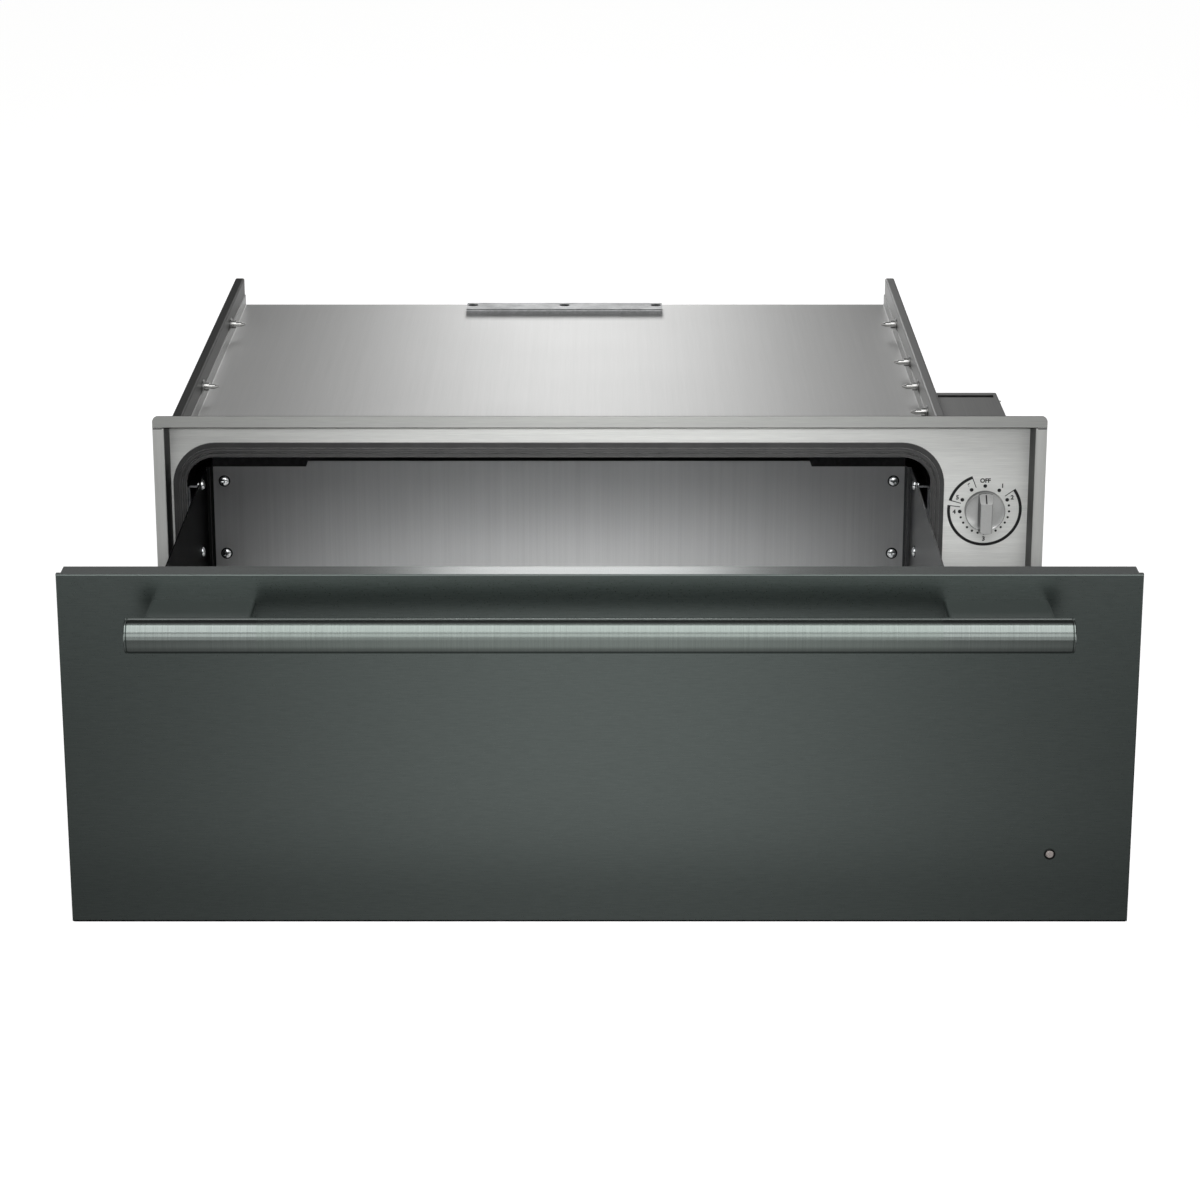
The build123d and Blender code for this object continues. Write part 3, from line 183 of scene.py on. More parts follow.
# the rim's members are brushed along their length; what turns back from their front carries painted
# shade, darker on the left than the right; the top and bottom members' darker tone is painted shade too
rimTopLook = dict(fasciaLook, dark="#90918f", light="#a2a3a0", wallShade="#3c3d3c")
rimSideLook = dict(fasciaLook, brushing="Z", dark="#bcbdbb", light="#cecfcc", wallShade="#2a2b2a")
rimRightLook = dict(rimSideLook, wallShade="#565756")
# the case is plainer sheet: greyer, with longer and shallower scratches; its sides, which nobody sees once
# it is built in, and its flanges are toned darker as painted shade, the left side darkest, and the
# cover's upturned edges carry painted shade too
caseLook = dict(fasciaLook, brushing="Y", scratchLength=90, scratchDepth=0.08, bandShare=0.3,
                wear=(0.01, 0.01), mainSide="Z", dark="#a8a8a7", light="#b2b2b1",
                metallic=1.0, roughness=0.4)
coverLook = dict(caseLook, wallShade="#7f7f7e")
flangeShadedLook = dict(caseLook, dark="#7d7d7c", light="#8b8b8a")
leftCaseShadedLook = dict(caseLook, dark="#454544", light="#4e4e4d", edgeTint=0.6)
rightCaseShadedLook = dict(caseLook, dark="#6e6e6d", light="#7a7a79")
# the pan is the smoothest sheet: its back mirrors its floor, and its sides are toned dark as painted
# shade, the left one darkest, with hardly any of its shine kept edge on
panLook = dict(caseLook, brushing="Z", scratchDepth=0.06, bandShare=0.5, wear=(0.02, 0.02),
               dark="#cacbcc", light="#d8d9da", metallic=0.98, roughness=0.29, anisotropy=0.4)
panSideShadedLook = dict(panLook, brushing="Y", dark="#555657", light="#5f6061", metallic=0.95)
panLeftShadedLook = dict(panSideShadedLook, dark="#2a2b2b", light="#313232", edgeTint=0.1)
frontLinerLook = dict(panLook, dark="#8a8b8c", light="#959697")
# less metal makes the floor of the pan pale and matt, so that its back has something to mirror
panFloorLook = dict(panLook, brushing="Y", dark="#c6c6c5", light="#d0d0cf", metallic=0.3)


def coatedSteel(tree, look):
    # Brushed steel under a tinted, fingerprint-proof lacquer: a dark green-grey with a silky grain,
    # a soft broad sheen from the metal and a weak clear highlight from the coat.
    coords = addNode(tree, "TexCoord").outputs["Object"]
    pitch = 1000 / look["grainPitch"]
    stretch = [1000 / look["grainLength"], pitch, pitch]
    along = addNode(tree, "Mapping", {"Scale": stretch}, {"Vector": coords})
    grain = addNode(tree, "TexNoise", {"Scale": 1.0, "Detail": 4.0, "Roughness": 0.65}, {"Vector": along})
    peel = addNode(tree, "TexNoise", {"Scale": 1000 / look["peelSize"], "Detail": 2.0}, {"Vector": coords})
    tone = addNode(tree, "ValToRGB", links={"Fac": grain}, stops=toneStops(look))
    worn = addNode(tree, "ValToRGB", links={"Fac": peel}, stops=wearStops(look))
    bump = addNode(tree, "Bump", {"Strength": look["peelDepth"], "Distance": grainHeight}, {"Height": peel})
    across = addNode(tree, "CombineXYZ", {"Y": 1.0, "Z": 1.0})
    return addNode(tree, "BsdfPrincipled",
                   {"Metallic": look["metallic"], "Anisotropic": look["anisotropy"], "IOR": look["ior"],
                    "Coat Weight": look["coat"], "Coat Roughness": look["coatRoughness"], "Coat IOR": 1.5},
                   {"Base Color": tone, "Roughness": worn, "Normal": bump, "Tangent": across})


# the grain under the coat is about 0.1 mm wide, drawn at 0.7 mm so that it shows; the coat's own
# orange peel is 0.9 mm across
frontLook = {"grainPitch": 0.7, "grainLength": 12, "peelSize": 0.9, "peelDepth": 0.12, "wear": (0.03, 0.04),
             "dark": "#515a57", "light": "#5b6461", "metallic": 1.0, "roughness": 0.3, "anisotropy": 0.3,
             "ior": 1.55, "coat": 1.0, "coatRoughness": 0.24}
mountLook = dict(frontLook, dark="#323b38", light="#3a4340", roughness=0.45, metallic=0.9)


def turnedSteel(tree, look):
    # Drawn or turned steel, then polished, lacquered or chromed: nearly a mirror, with a faint satin
    # blur from the rings that the tool left round it.
    coords = addNode(tree, "TexCoord").outputs["Object"]
    stretch = [1000 / look["ringPitch"], look["aroundScale"], look["aroundScale"]]
    around = addNode(tree, "Mapping", {"Scale": stretch}, {"Vector": coords})
    rings = addNode(tree, "TexNoise", {"Scale": 1.0, "Detail": 3.0}, {"Vector": around})
    tone = addNode(tree, "ValToRGB", links={"Fac": rings}, stops=toneStops(look))
    bump = addNode(tree, "Bump", {"Strength": look["ringDepth"], "Distance": grainHeight},
                   {"Height": rings})
    return addNode(tree, "BsdfPrincipled", {"Metallic": 1.0, "Roughness": look["roughness"]},
                   {"Base Color": tone, "Normal": bump})


# rings are really under 0.1 mm apart, drawn coarser; round the bar the pattern changes 20 times a metre
barLook = {"ringPitch": 0.5, "ringDepth": 0.05, "aroundScale": 20,
           "dark": "#7b837f", "light": "#848c88", "roughness": 0.22}
sleeveLook = dict(barLook, dark="#7b827f", light="#858c89", roughness=0.17)
screwLook = dict(barLook, ringPitch=0.4, dark="#b0b0ae", light="#c8c8c6", roughness=0.2)
ballLook = dict(screwLook, roughness=0.1)
chromeLook = dict(screwLook, dark="#d6d8d9", light="#e2e4e5", roughness=0.12)
bezelLook = dict(screwLook, dark="#2b2d2c", light="#343635", roughness=0.3)


def zincSteel(tree, look):
    # Steel sheet with a hot-dipped zinc coat, rolled smooth: slightly blue, mottled where the
    # crystals differ, with a dull haze over them.
    coords = addNode(tree, "TexCoord").outputs["Object"]
    mottle = addNode(tree, "TexVoronoi", {"Scale": 1000 / look["spangle"]}, {"Vector": coords})
    haze = addNode(tree, "TexNoise", {"Scale": look["hazeScale"], "Detail": 4.0}, {"Vector": coords})
    tone = addNode(tree, "ValToRGB", links={"Fac": mottle.outputs["Color"]}, stops=toneStops(look))
    worn = addNode(tree, "ValToRGB", links={"Fac": haze}, stops=wearStops(look))
    return addNode(tree, "BsdfPrincipled", {"Metallic": 1.0}, {"Base Color": tone, "Roughness": worn})


# the crystals are 2 to 3 mm across, and the haze has 60 patches to the metre
zincLook = {"spangle": 2.5, "hazeScale": 60.0, "toneSpan": (0.2, 0.8), "wear": (0.06, 0.08),
            "dark": "#a8aaad", "light": "#bcbec0", "roughness": 0.32}
bracketLook = dict(zincLook, dark="#828384", light="#8e8f90", roughness=0.4)   # duller with age
stopLook = dict(zincLook, spangle=3, dark="#1d1d1e", light="#262627", roughness=0.5)   # blackened zinc


def siliconeRubber(tree, look):
    # Extruded silicone: near black and satin, with a pale bloom that lies on it in soft patches.
    coords = addNode(tree, "TexCoord").outputs["Object"]
    bloom = addNode(tree, "TexNoise", {"Scale": 1000 / look["bloomSize"], "Detail": 4.0},
                    {"Vector": coords})
    tone = addNode(tree, "ValToRGB", links={"Fac": bloom}, stops=toneStops(look))
    bump = addNode(tree, "Bump", {"Strength": look["bloomDepth"], "Distance": look["bloomHeight"]},
                   {"Height": bloom})
    return addNode(tree, "BsdfPrincipled",
                   {"Roughness": look["roughness"], "IOR": look["ior"],
                    "Sheen Weight": look["sheen"], "Sheen Roughness": look["sheenRoughness"]},
                   {"Base Color": tone, "Normal": bump})


gasketLook = {"bloomSize": 9, "bloomDepth": 0.04, "bloomHeight": 0.0002, "toneSpan": (0.35, 0.7),
              "dark": "#363636", "light": "#3d3d3d", "roughness": 0.34, "ior": 1.41,
              "sheen": 0.15, "sheenRoughness": 0.5}


def mouldedPlastic(tree, look):
    # Injection-moulded thermoplastic: a fine even grit from the tool breaks up its highlights. The knob
    # has a thin metal coat over it, so its face is bright. Ceramic and print have as even a surface.
    coords = addNode(tree, "TexCoord").outputs["Object"]
    grit = addNode(tree, "TexNoise", {"Scale": 1000 / look["gritSize"], "Detail": 3.0}, {"Vector": coords})
    tone = addNode(tree, "ValToRGB", links={"Fac": grit}, stops=toneStops(look))
    # painted shade on the walls, where the look has it
    if "wallShade" in look:
        tone = paintedShadeOnWalls(tree, tone, look)
    bump = addNode(tree, "Bump", {"Strength": look["gritDepth"], "Distance": grainHeight}, {"Height": grit})
    return addNode(tree, "BsdfPrincipled",
                   {"Metallic": look["metallic"], "Roughness": look["roughness"], "IOR": look["ior"]},
                   {"Base Color": tone, "Normal": bump})


# the grit is really 0.03 to 0.1 mm, drawn coarser so that it shows
# the knob's side walls and the grip's flanks are toned near black: painted shade
knobLook = {"gritSize": 0.6, "gritDepth": 0.08, "mainSide": "Y", "wallShade": "#1c1d1d",
            "dark": "#cfd0cf", "light": "#dadbd9", "metallic": 0.6, "roughness": 0.22, "ior": 1.5}
switchLook = {"gritSize": 1.0, "gritDepth": 0.3,
              "dark": "#151516", "light": "#1d1d1f", "metallic": 0.0, "roughness": 0.45, "ior": 1.53}
ceramicLook = {"gritSize": 0.8, "gritDepth": 0.2,
               "dark": "#d9d4c8", "light": "#e6e2d8", "metallic": 0.0, "roughness": 0.35, "ior": 1.55}
# acrylic over an unlit lamp: grey and glossy, with hardly any grit
lensLook = {"gritSize": 2.0, "gritDepth": 0.02,
            "dark": "#918986", "light": "#9b9491", "metallic": 0.0, "roughness": 0.12, "ior": 1.49}
# screen-printed ink: flat black, slightly rough
inkLook = {"gritSize": 0.6, "gritDepth": 0.05,
           "dark": "#0c0c0d", "light": "#121213", "metallic": 0.0, "roughness": 0.5, "ior": 1.5}


def glassWool(tree, look):
    # Spun glass fibre bonded in a blanket: pale yellow, matt, with tangled strands in tufts.
    coords = addNode(tree, "TexCoord").outputs["Object"]
    lay = addNode(tree, "Mapping", {"Scale": look["lay"]}, {"Vector": coords})
    strands = addNode(tree, "TexNoise",
                      {"Scale": 1000 / look["tuftSize"], "Detail": 6.0, "Distortion": 2.0}, {"Vector": lay})
    tone = addNode(tree, "ValToRGB", links={"Fac": strands}, stops=toneStops(look))
    bump = addNode(tree, "Bump", {"Strength": look["tuftDepth"], "Distance": look["tuftHeight"]},
                   {"Height": strands})
    return addNode(tree, "BsdfPrincipled", {"Roughness": look["roughness"], "Sheen Weight": look["sheen"]},
                   {"Base Color": tone, "Normal": bump})


woolLook = {"tuftSize": 9, "lay": (1, 0.3, 1), "tuftDepth": 0.6, "tuftHeight": 0.001,
            "dark": "#c9b978", "light": "#e2d7a6", "roughness": 0.95, "sheen": 0.3}


def sheathedElement(tree, look):
    # Nickel alloy sheath after some heats: grey-brown oxide with straw-coloured patches.
    coords = addNode(tree, "TexCoord").outputs["Object"]
    heat = addNode(tree, "TexNoise", {"Scale": 1000 / look["patchSize"], "Detail": 4.0}, {"Vector": coords})
    tone = addNode(tree, "ValToRGB", links={"Fac": heat}, stops=toneStops(look))
    return addNode(tree, "BsdfPrincipled", {"Metallic": look["metallic"], "Roughness": look["roughness"]},
                   {"Base Color": tone})


elementLook = {"patchSize": 40, "toneSpan": (0.35, 0.65),
               "dark": "#4d4740", "light": "#6b6457", "metallic": 0.9, "roughness": 0.5}


def bothSides(*names):
    return [name + side for name in names for side in ("_left", "_right")]


# each finish: its name, how it is built, its look and the CAD pieces that have it; the two without
# a CAD piece are for pieces made below
finishes = [
    ("fasciaSteel", brushedSteel, fasciaLook, ["fascia"]),
    ("rimTopSteel", brushedSteel, rimTopLook, ["frame_top", "frame_bottom"]),
    ("rimSideSteel", brushedSteel, rimSideLook, ["frame_left"]),
    ("rimRightSteel", brushedSteel, rimRightLook, ["frame_right"]),
    ("coverSteel", brushedSteel, coverLook, ["top_cover"]),
    ("flangeShadedSteel", brushedSteel, flangeShadedLook, ["base_pan", "control_box", "control_box_lid"]),
    ("leftCaseShadedSteel", brushedSteel, leftCaseShadedLook, ["side_panel_left"]),
    ("rightCaseShadedSteel", brushedSteel, rightCaseShadedLook, ["side_panel_right"]),
    ("panSteel", brushedSteel, panLook, ["pan_back", "rear_panel"]),
    ("panSideShadedSteel", brushedSteel, panSideShadedLook, ["pan_side_right", "cavity_liner"]),
    ("panLeftShadedSteel", brushedSteel, panLeftShadedLook, ["pan_side_left"]),
    ("panFloorSteel", brushedSteel, panFloorLook, ["pan_floor"]),
    ("frontLinerSteel", brushedSteel, frontLinerLook, ["front_liner"]),
    ("frontLacquer", coatedSteel, frontLook, ["front_skin", "front_frame"]),
    ("mountLacquer", coatedSteel, mountLook, bothSides("handle_mount")),
    ("barSteel", turnedSteel, barLook, ["handle_bar"]),
    ("sleeveSteel", turnedSteel, sleeveLook, bothSides("handle_sleeve")),
    ("screwSteel", turnedSteel, screwLook,
     ["case_screws", "cover_screws", "drawer_screws", "handle_screws", "selector_shaft"]),
    ("ballSteel", turnedSteel, ballLook, bothSides("ball_cage_outer", "ball_cage_inner")),
    ("chromedScrew", turnedSteel, chromeLook, []),
    ("bezelSteel", turnedSteel, bezelLook, ["indicator_bezel"]),
    ("zincSteel", zincSteel, zincLook,
     bothSides("slide_bracket", "slide_outer", "slide_mid", "slide_inner") + ["element_clips"]),
    ("bracketSteel", zincSteel, bracketLook, ["top_bracket"]),
    ("stopSteel", zincSteel, stopLook, ["drawer_stops"]),
    ("gasketSilicone", siliconeRubber, gasketLook, ["door_gasket"]),
    ("knobMetalized", mouldedPlastic, knobLook, ["control_knob"]),
    ("switchPlastic", mouldedPlastic, switchLook,
     ["heat_regulator", "power_inlet_bushing", "indicator_lamp"]),
    ("ceramicBead", mouldedPlastic, ceramicLook, ["element_terminals", "thermal_cutout"]),
    ("lampLens", mouldedPlastic, lensLook, ["indicator_lens"]),
    ("dialInk", mouldedPlastic, inkLook, []),
    ("glassWool", glassWool, woolLook, ["liner_insulation", "front_insulation"]),
    ("elementSheath", sheathedElement, elementLook, ["heating_element"]),
]
materials = {}
for finish, surface, look, names in finishes:
    materials[finish] = makeMaterial(finish, surface, look)
    for name in names:
        for materialSlot in cad[name].material_slots:
            materialSlot.material = materials[finish]
bare = set(cad) - {name for finish in finishes for name in finish[3]}
print("materials on the CAD pieces; without one:", sorted(bare))


# dial print

dial = {"ringRadius": 0.0208, "arcRadius": 0.0302, "arcWidth": 0.0025, "arcStep": 3, "tickWidth": 0.0007,
        "bigDot": 0.0016, "smallDot": 0.001, "dotSides": 20, "inkHeight": 0.00006, "inkFilm": 0.00003,
        "letterHeight": 0.0036, "fontScale": 1.4, "letterWeight": 0.0002, "letterFilm": 0.00002,
        "labelRadius": 0.0254, "scaleFrom": 65.0, "scaleTo": 266.0, "scaleSteps": 14,
        "mainArc": (54.6, 277.3), "shortArc": (286.0, 338.8),
        "bigAngles": (0.0, 35.0, 65.0, 266.0, 295.0, 327.0),
        "labels": ((0.0, "OFF"), (35.0, "1"), (65.0, "2"), (180.0, "3"), (266.0, "4"), (295.0, "5"),
                   (327.0, "6"))}

knobLow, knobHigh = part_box("control_knob")
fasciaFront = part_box("fascia")[0][1]
dialCentre = Vector(((knobLow[0] + knobHigh[0]) / 2, fasciaFront, (knobLow[2] + knobHigh[2]) / 2))


def onDial(radius, degrees):
    # a place on the fascia, clockwise from the top
    angle = math.radians(degrees)
    return dialCentre + Vector((radius * math.sin(angle), -dial["inkHeight"], radius * math.cos(angle)))


def addBand(bm, inner, outer, start, end, steps):
    # a flat strip of ink along part of a circle
    rows = []
    for step in range(steps + 1):
        degrees = start + (end - start) * step / steps
        rows.append([bm.verts.new(onDial(radius, degrees)) for radius in (inner, outer)])
    for a, b in zip(rows, rows[1:]):
        bm.faces.new((a[0], b[0], b[1], a[1]))


def addTick(bm, degrees, inner, outer):
    # a thin radial line
    along = (onDial(1, degrees) - onDial(0, degrees)).normalized()
    across = Vector((along.z, 0, -along.x)) * (dial["tickWidth"] / 2)
    ends = [onDial(inner, degrees), onDial(outer, degrees)]
    corners = [ends[0] - across, ends[0] + across, ends[1] + across, ends[1] - across]
    bm.faces.new([bm.verts.new(corner) for corner in corners])


def addDot(bm, degrees, radius):
    centre = onDial(dial["ringRadius"], degrees)
    corners = []
    for step in range(dial["dotSides"]):
        angle = 2 * math.pi * step / dial["dotSides"]
        out = Vector((radius * math.cos(angle), 0, radius * math.sin(angle)))
        corners.append(bm.verts.new(centre + out))
    bm.faces.new(corners)


def makeDialPrint():
    bm = bmesh.new()
    inner, outer = dial["arcRadius"] - dial["arcWidth"] / 2, dial["arcRadius"] + dial["arcWidth"] / 2
    for start, end in (dial["mainArc"], dial["shortArc"]):
        addBand(bm, inner, outer, start, end, int((end - start) / dial["arcStep"]))
        for degrees in (start, end):
            addTick(bm, degrees, dial["ringRadius"], outer)
    for degrees in dial["bigAngles"]:
        addDot(bm, degrees, dial["bigDot"])
    step = (dial["scaleTo"] - dial["scaleFrom"]) / dial["scaleSteps"]
    for count in range(1, dial["scaleSteps"]):
        addDot(bm, dial["scaleFrom"] + step * count, dial["smallDot"])
    bmesh.ops.recalc_face_normals(bm, faces=bm.faces)
    bmesh.ops.solidify(bm, geom=bm.faces[:], thickness=dial["inkFilm"])
    finishPiece("dialPrint", meshFrom(bm, "dialPrint"), "chassis", "dialInk")


def makeDialLabels():
    for degrees, words in dial["labels"]:
        curve = bpy.data.curves.new("dialLabel_" + words, "FONT")
        curve.body = words
        curve.size = dial["letterHeight"] * dial["fontScale"]
        curve.align_x = curve.align_y = "CENTER"
        curve.offset = dial["letterWeight"]
        curve.extrude = dial["letterFilm"]
        place = (Matrix.Translation(onDial(dial["labelRadius"], degrees))
                 @ Matrix.Rotation(math.radians(90), 4, "X"))
        finishPiece("dialLabel_" + words, curve, "chassis", "dialInk", place)


makeDialPrint()
makeDialLabels()
print("dial printed")


# thin dark lines: the knob's pointer, and painted shade in the rim's joints and at the fold of the front

strip = {"lift": 0.00004, "film": 0.00002}   # how far a line lies over its sheet, and its thickness


def stripPiece(name, corners, body):
    bm = bmesh.new()
    bm.faces.new([bm.verts.new(corner) for corner in corners])
    bmesh.ops.solidify(bm, geom=bm.faces[:], thickness=strip["film"])
    finishPiece(name, meshFrom(bm, name), body, "dialInk")


def uprightStrip(ends, face, low, high):
    return [(ends[0], face, low), (ends[1], face, low), (ends[1], face, high), (ends[0], face, high)]


pointer = {"width": 0.0011, "from": 0.0098, "to": 0.0158, "slopeStart": 0.0094, "slopeEnd": 0.0179,
           "crestDepth": 0.0165, "skirtDepth": 0.007, "lift": 0.00005}


def makePointer():
    # a short dark line down the slope at the grip's top end
    seat = knobHigh[1]
    fall = (pointer["crestDepth"] - pointer["skirtDepth"]) / (pointer["slopeEnd"] - pointer["slopeStart"])
    half = pointer["width"] / 2
    corners = []
    for radius, sides in ((pointer["from"], (-half, half)), (pointer["to"], (half, -half))):
        depth = pointer["crestDepth"] - fall * (radius - pointer["slopeStart"]) + pointer["lift"]
        corners += [(dialCentre.x + side, seat - depth, dialCentre.z + radius) for side in sides]
    stripPiece("knobPointer", corners, "knob")


seam = {"height": 0.0008, "underHeight": 0.0005, "underRise": 0.0001, "rimWidth": 0.0078, "inset": 0.0004}


def makeSeamShades():
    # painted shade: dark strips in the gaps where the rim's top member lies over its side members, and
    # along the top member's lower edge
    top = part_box("frame_left")[1][2]
    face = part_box("frame_left")[0][1] - strip["lift"]
    spans = {}
    for name in ("frame_left", "frame_right"):
        low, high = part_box(name)
        outer, way = (low[0], 1) if low[0] < 0 else (high[0], -1)
        ends = sorted((outer + way * seam["inset"], outer + way * seam["rimWidth"]))
        spans["seam_" + name] = (ends, top - seam["height"], top)
    inner = [spans["seam_frame_left"][0][1], spans["seam_frame_right"][0][0]]
    foot = top + seam["underRise"]
    spans["seam_frame_top"] = (inner, foot, foot + seam["underHeight"])
    for name, (ends, low, high) in spans.items():
        stripPiece(name, uprightStrip(ends, face, low, high), "chassis")


fold = {"height": 0.0011, "inset": 0.0012}


def makeFoldShade():
    # painted shade: a dark strip along the turn of the sheet at the foot of the drawer's front
    low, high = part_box("front_skin")
    ends = (low[0] + fold["inset"], high[0] - fold["inset"])
    corners = uprightStrip(ends, low[1] - strip["lift"], low[2], low[2] + fold["height"])
    stripPiece("frontFoldShade", corners, "drawer")


makePointer()
makeSeamShades()
makeFoldShade()
print("pointer and seams added")


# screws inside the pan: pan heads with a cross recess, chromed, each on a dark disc that is a painted
# reflection of the head in the pan's sheet

panScrew = {"headRadius": 0.0039, "headHeight": 0.0028, "brim": 0.0008, "shankRadius": 0.002,
            "headFrom": 0.0026, "reflectionRingRadius": 0.0049, "reflectionRingHeight": 0.0003, "spin": 0.6,
            "recessLength": 0.0046, "recessWidth": 0.0009, "recessDepth": 0.0016,
            "sides": 40, "crownSteps": 9, "shankSides": 20, "reflectionRingSides": 36, "crease": 35}


def islandsOf(nodeName):
    # the separate solids in a CAD node, in the mesh's own order, each as a list of corner places
    bm = bmesh.new()
    bm.from_mesh(cad[nodeName].data)
    bmesh.ops.remove_doubles(bm, verts=bm.verts, dist=1e-7)   # only what lies on the same spot
    waiting = set(bm.verts)
    islands = []
    for first in bm.verts:
        if first not in waiting:
            continue
        waiting.remove(first)
        reach, places = [first], []
        while reach:
            vert = reach.pop()
            places.append(vert.co.copy())
            for edge in vert.link_edges:
                other = edge.other_vert(vert)
                if other in waiting:
                    waiting.remove(other)
                    reach.append(other)
        islands.append(places)
    bm.free()
    return islands


def screwHeadMesh():
    # a domed head on its seat at z = 0, crown along +Z
    bm = bmesh.new()
    radius, height, brim = panScrew["headRadius"], panScrew["headHeight"], panScrew["brim"]
    sides, steps = panScrew["sides"], panScrew["crownSteps"]
    profile = [(radius, 0.0)]
    for step in range(steps):
        angle = math.pi / 2 * step / steps
        profile.append((radius * math.cos(angle), brim + (height - brim) * math.sin(angle)))
    turns = [2 * math.pi * side / sides for side in range(sides)]
    rings = [[bm.verts.new((reach * math.cos(turn), reach * math.sin(turn), level)) for turn in turns]
             for reach, level in profile]
    crown = bm.verts.new((0, 0, height))
    for side in range(sides):
        after = (side + 1) % sides
        for low, high in zip(rings, rings[1:]):
            bm.faces.new((low[side], low[after], high[after], high[side]))
        bm.faces.new((rings[-1][side], rings[-1][after], crown))
    bm.faces.new(list(reversed(rings[0])))
    return meshFrom(bm, "screwHead")


def crossBarMesh():
    bm = bmesh.new()
    bmesh.ops.create_cube(bm, size=2.0)
    half = (panScrew["recessLength"] / 2, panScrew["recessWidth"] / 2, panScrew["recessDepth"])
    bmesh.ops.scale(bm, verts=bm.verts, vec=half)
    return meshFrom(bm, "crossBar")


def recessedHead():
    # cuts both bars of the cross out of the head and returns the finished mesh
    head = addObject("screwBlank", screwHeadMesh())
    cutters = []
    for turn in (0, 90):
        cutter = addObject("crossBar", crossBarMesh())
        cutter.matrix_world = (Matrix.Translation((0, 0, panScrew["headHeight"]))
                               @ Matrix.Rotation(math.radians(turn), 4, "Z"))
        cut = head.modifiers.new("cross", "BOOLEAN")
        cut.operation = "DIFFERENCE"
        cut.solver = "EXACT"
        cut.object = cutter
        cutters.append(cutter)
    bpy.context.view_layer.update()
    shape = bpy.data.meshes.new_from_object(head.evaluated_get(bpy.context.evaluated_depsgraph_get()))
    for spare in (head, *cutters):
        bpy.data.objects.remove(spare)
    return shape


def seatOf(places):
    # where a CAD screw's head sits, which way it faces and how long its shank is
    low = Vector([min(place[a] for place in places) for a in range(3)])
    high = Vector([max(place[a] for place in places) for a in range(3)])
    size, middle = high - low, (low + high) / 2
    axis = max(range(3), key=lambda a: abs(size[a] - panScrew["headRadius"] * 2))
    wide = [place[axis] for place in places
            if Vector([place[a] - middle[a] for a in range(3) if a != axis]).length > panScrew["headFrom"]]
    way = 1 if (min(wide) + max(wide)) / 2 > middle[axis] else -1
    seat = middle.copy()
    seat[axis] = min(wide) if way > 0 else max(wide)
    outward = Vector([way if a == axis else 0 for a in range(3)])
    length = abs((low[axis] if way > 0 else high[axis]) - seat[axis])
    return seat, outward, length


def addCylinder(bm, sides, radius, length, place):
    added = bmesh.ops.create_cone(bm, cap_ends=True, segments=sides, radius1=radius, radius2=radius,
                                  depth=length)
    bmesh.ops.transform(bm, matrix=place, verts=added["verts"])


def makePanScrews():
    shape = recessedHead()
    screws, reflectionRings = bmesh.new(), bmesh.new()
    for number, places in enumerate(islandsOf("drawer_screws")):
        seat, outward, length = seatOf(places)
        turn = outward.to_track_quat("Z", "Y").to_matrix().to_4x4()
        head = shape.copy()
        head.transform(Matrix.Translation(seat) @ turn @ Matrix.Rotation(panScrew["spin"] * number, 4, "Z"))
        screws.from_mesh(head)
        bpy.data.meshes.remove(head)
        addCylinder(screws, panScrew["shankSides"], panScrew["shankRadius"], length,
                    Matrix.Translation(seat - outward * length / 2) @ turn)
        # the dark disc under each head: painted reflection
        height = panScrew["reflectionRingHeight"]
        addCylinder(reflectionRings, panScrew["reflectionRingSides"], panScrew["reflectionRingRadius"], height,
                    Matrix.Translation(seat + outward * height / 2) @ turn)
    mesh = meshFrom(screws, "panScrews")
    piece = finishPiece("panScrews", mesh, "drawer", "chromedScrew", smooth=True)
    mesh.set_sharp_from_angle(angle=math.radians(panScrew["crease"]))
    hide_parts("drawer_screws")
    finishPiece("screwReflectionRings", meshFrom(reflectionRings, "screwReflectionRings"), "drawer", "stopSteel")


makePanScrews()
print("pan screws made")


# floor

stage = {"floorDrop": 0.0005, "floorSize": 40.0, "floorColour": "#c9c9c8", "floorGlow": 0.8}
# painted light and shade for the metal to mirror: the floor glows as a soft bright patch ahead of the
# drawer, painted dim beside and under it, and pale again further off
patch = {"base": 0.13, "peak": 0.62, "halfWidth": 0.34, "darkFrom": -0.53, "brightFrom": -0.7,
         "underDrawer": 0.4, "farCentre": (0.0, -0.75, 0.0), "farFrom": 0.8, "farTo": 1.25, "far": 0.9}


def paintedMirrorPatch(tree):
    # a bell curve across, times a rise from the drawer's foot outwards
    coords = addNode(tree, "TexCoord").outputs["Object"]
    place = addNode(tree, "SeparateXYZ", links={"Vector": coords})
    spread = addNode(tree, "Math", {"operation": "DIVIDE", 1: patch["halfWidth"]}, {0: place.outputs["X"]})
    square = addNode(tree, "Math", {"operation": "MULTIPLY"}, {0: spread, 1: spread})
    minus = addNode(tree, "Math", {"operation": "MULTIPLY", 1: -1.0}, {0: square})
    bell = addNode(tree, "Math", {"operation": "EXPONENT"}, {0: minus})
    rise = addNode(tree, "MapRange", {"interpolation_type": "SMOOTHSTEP",
                                      "From Min": patch["darkFrom"], "From Max": patch["brightFrom"],
                                      "To Min": patch["peak"] * patch["underDrawer"],
                                      "To Max": patch["peak"]}, {"Value": place.outputs["Y"]})
    near = addNode(tree, "Math", {"operation": "MULTIPLY_ADD", 2: patch["base"]}, {0: bell, 1: rise})
    reach = addNode(tree, "VectorMath", {"operation": "DISTANCE", 1: patch["farCentre"]}, {0: coords})
    away = addNode(tree, "MapRange", {"interpolation_type": "SMOOTHSTEP", "From Min": patch["farFrom"],
                                      "From Max": patch["farTo"], "To Max": patch["far"]},
                   {"Value": reach.outputs["Value"]})
    return addNode(tree, "Math", {"operation": "MAXIMUM"}, {0: near, 1: away})


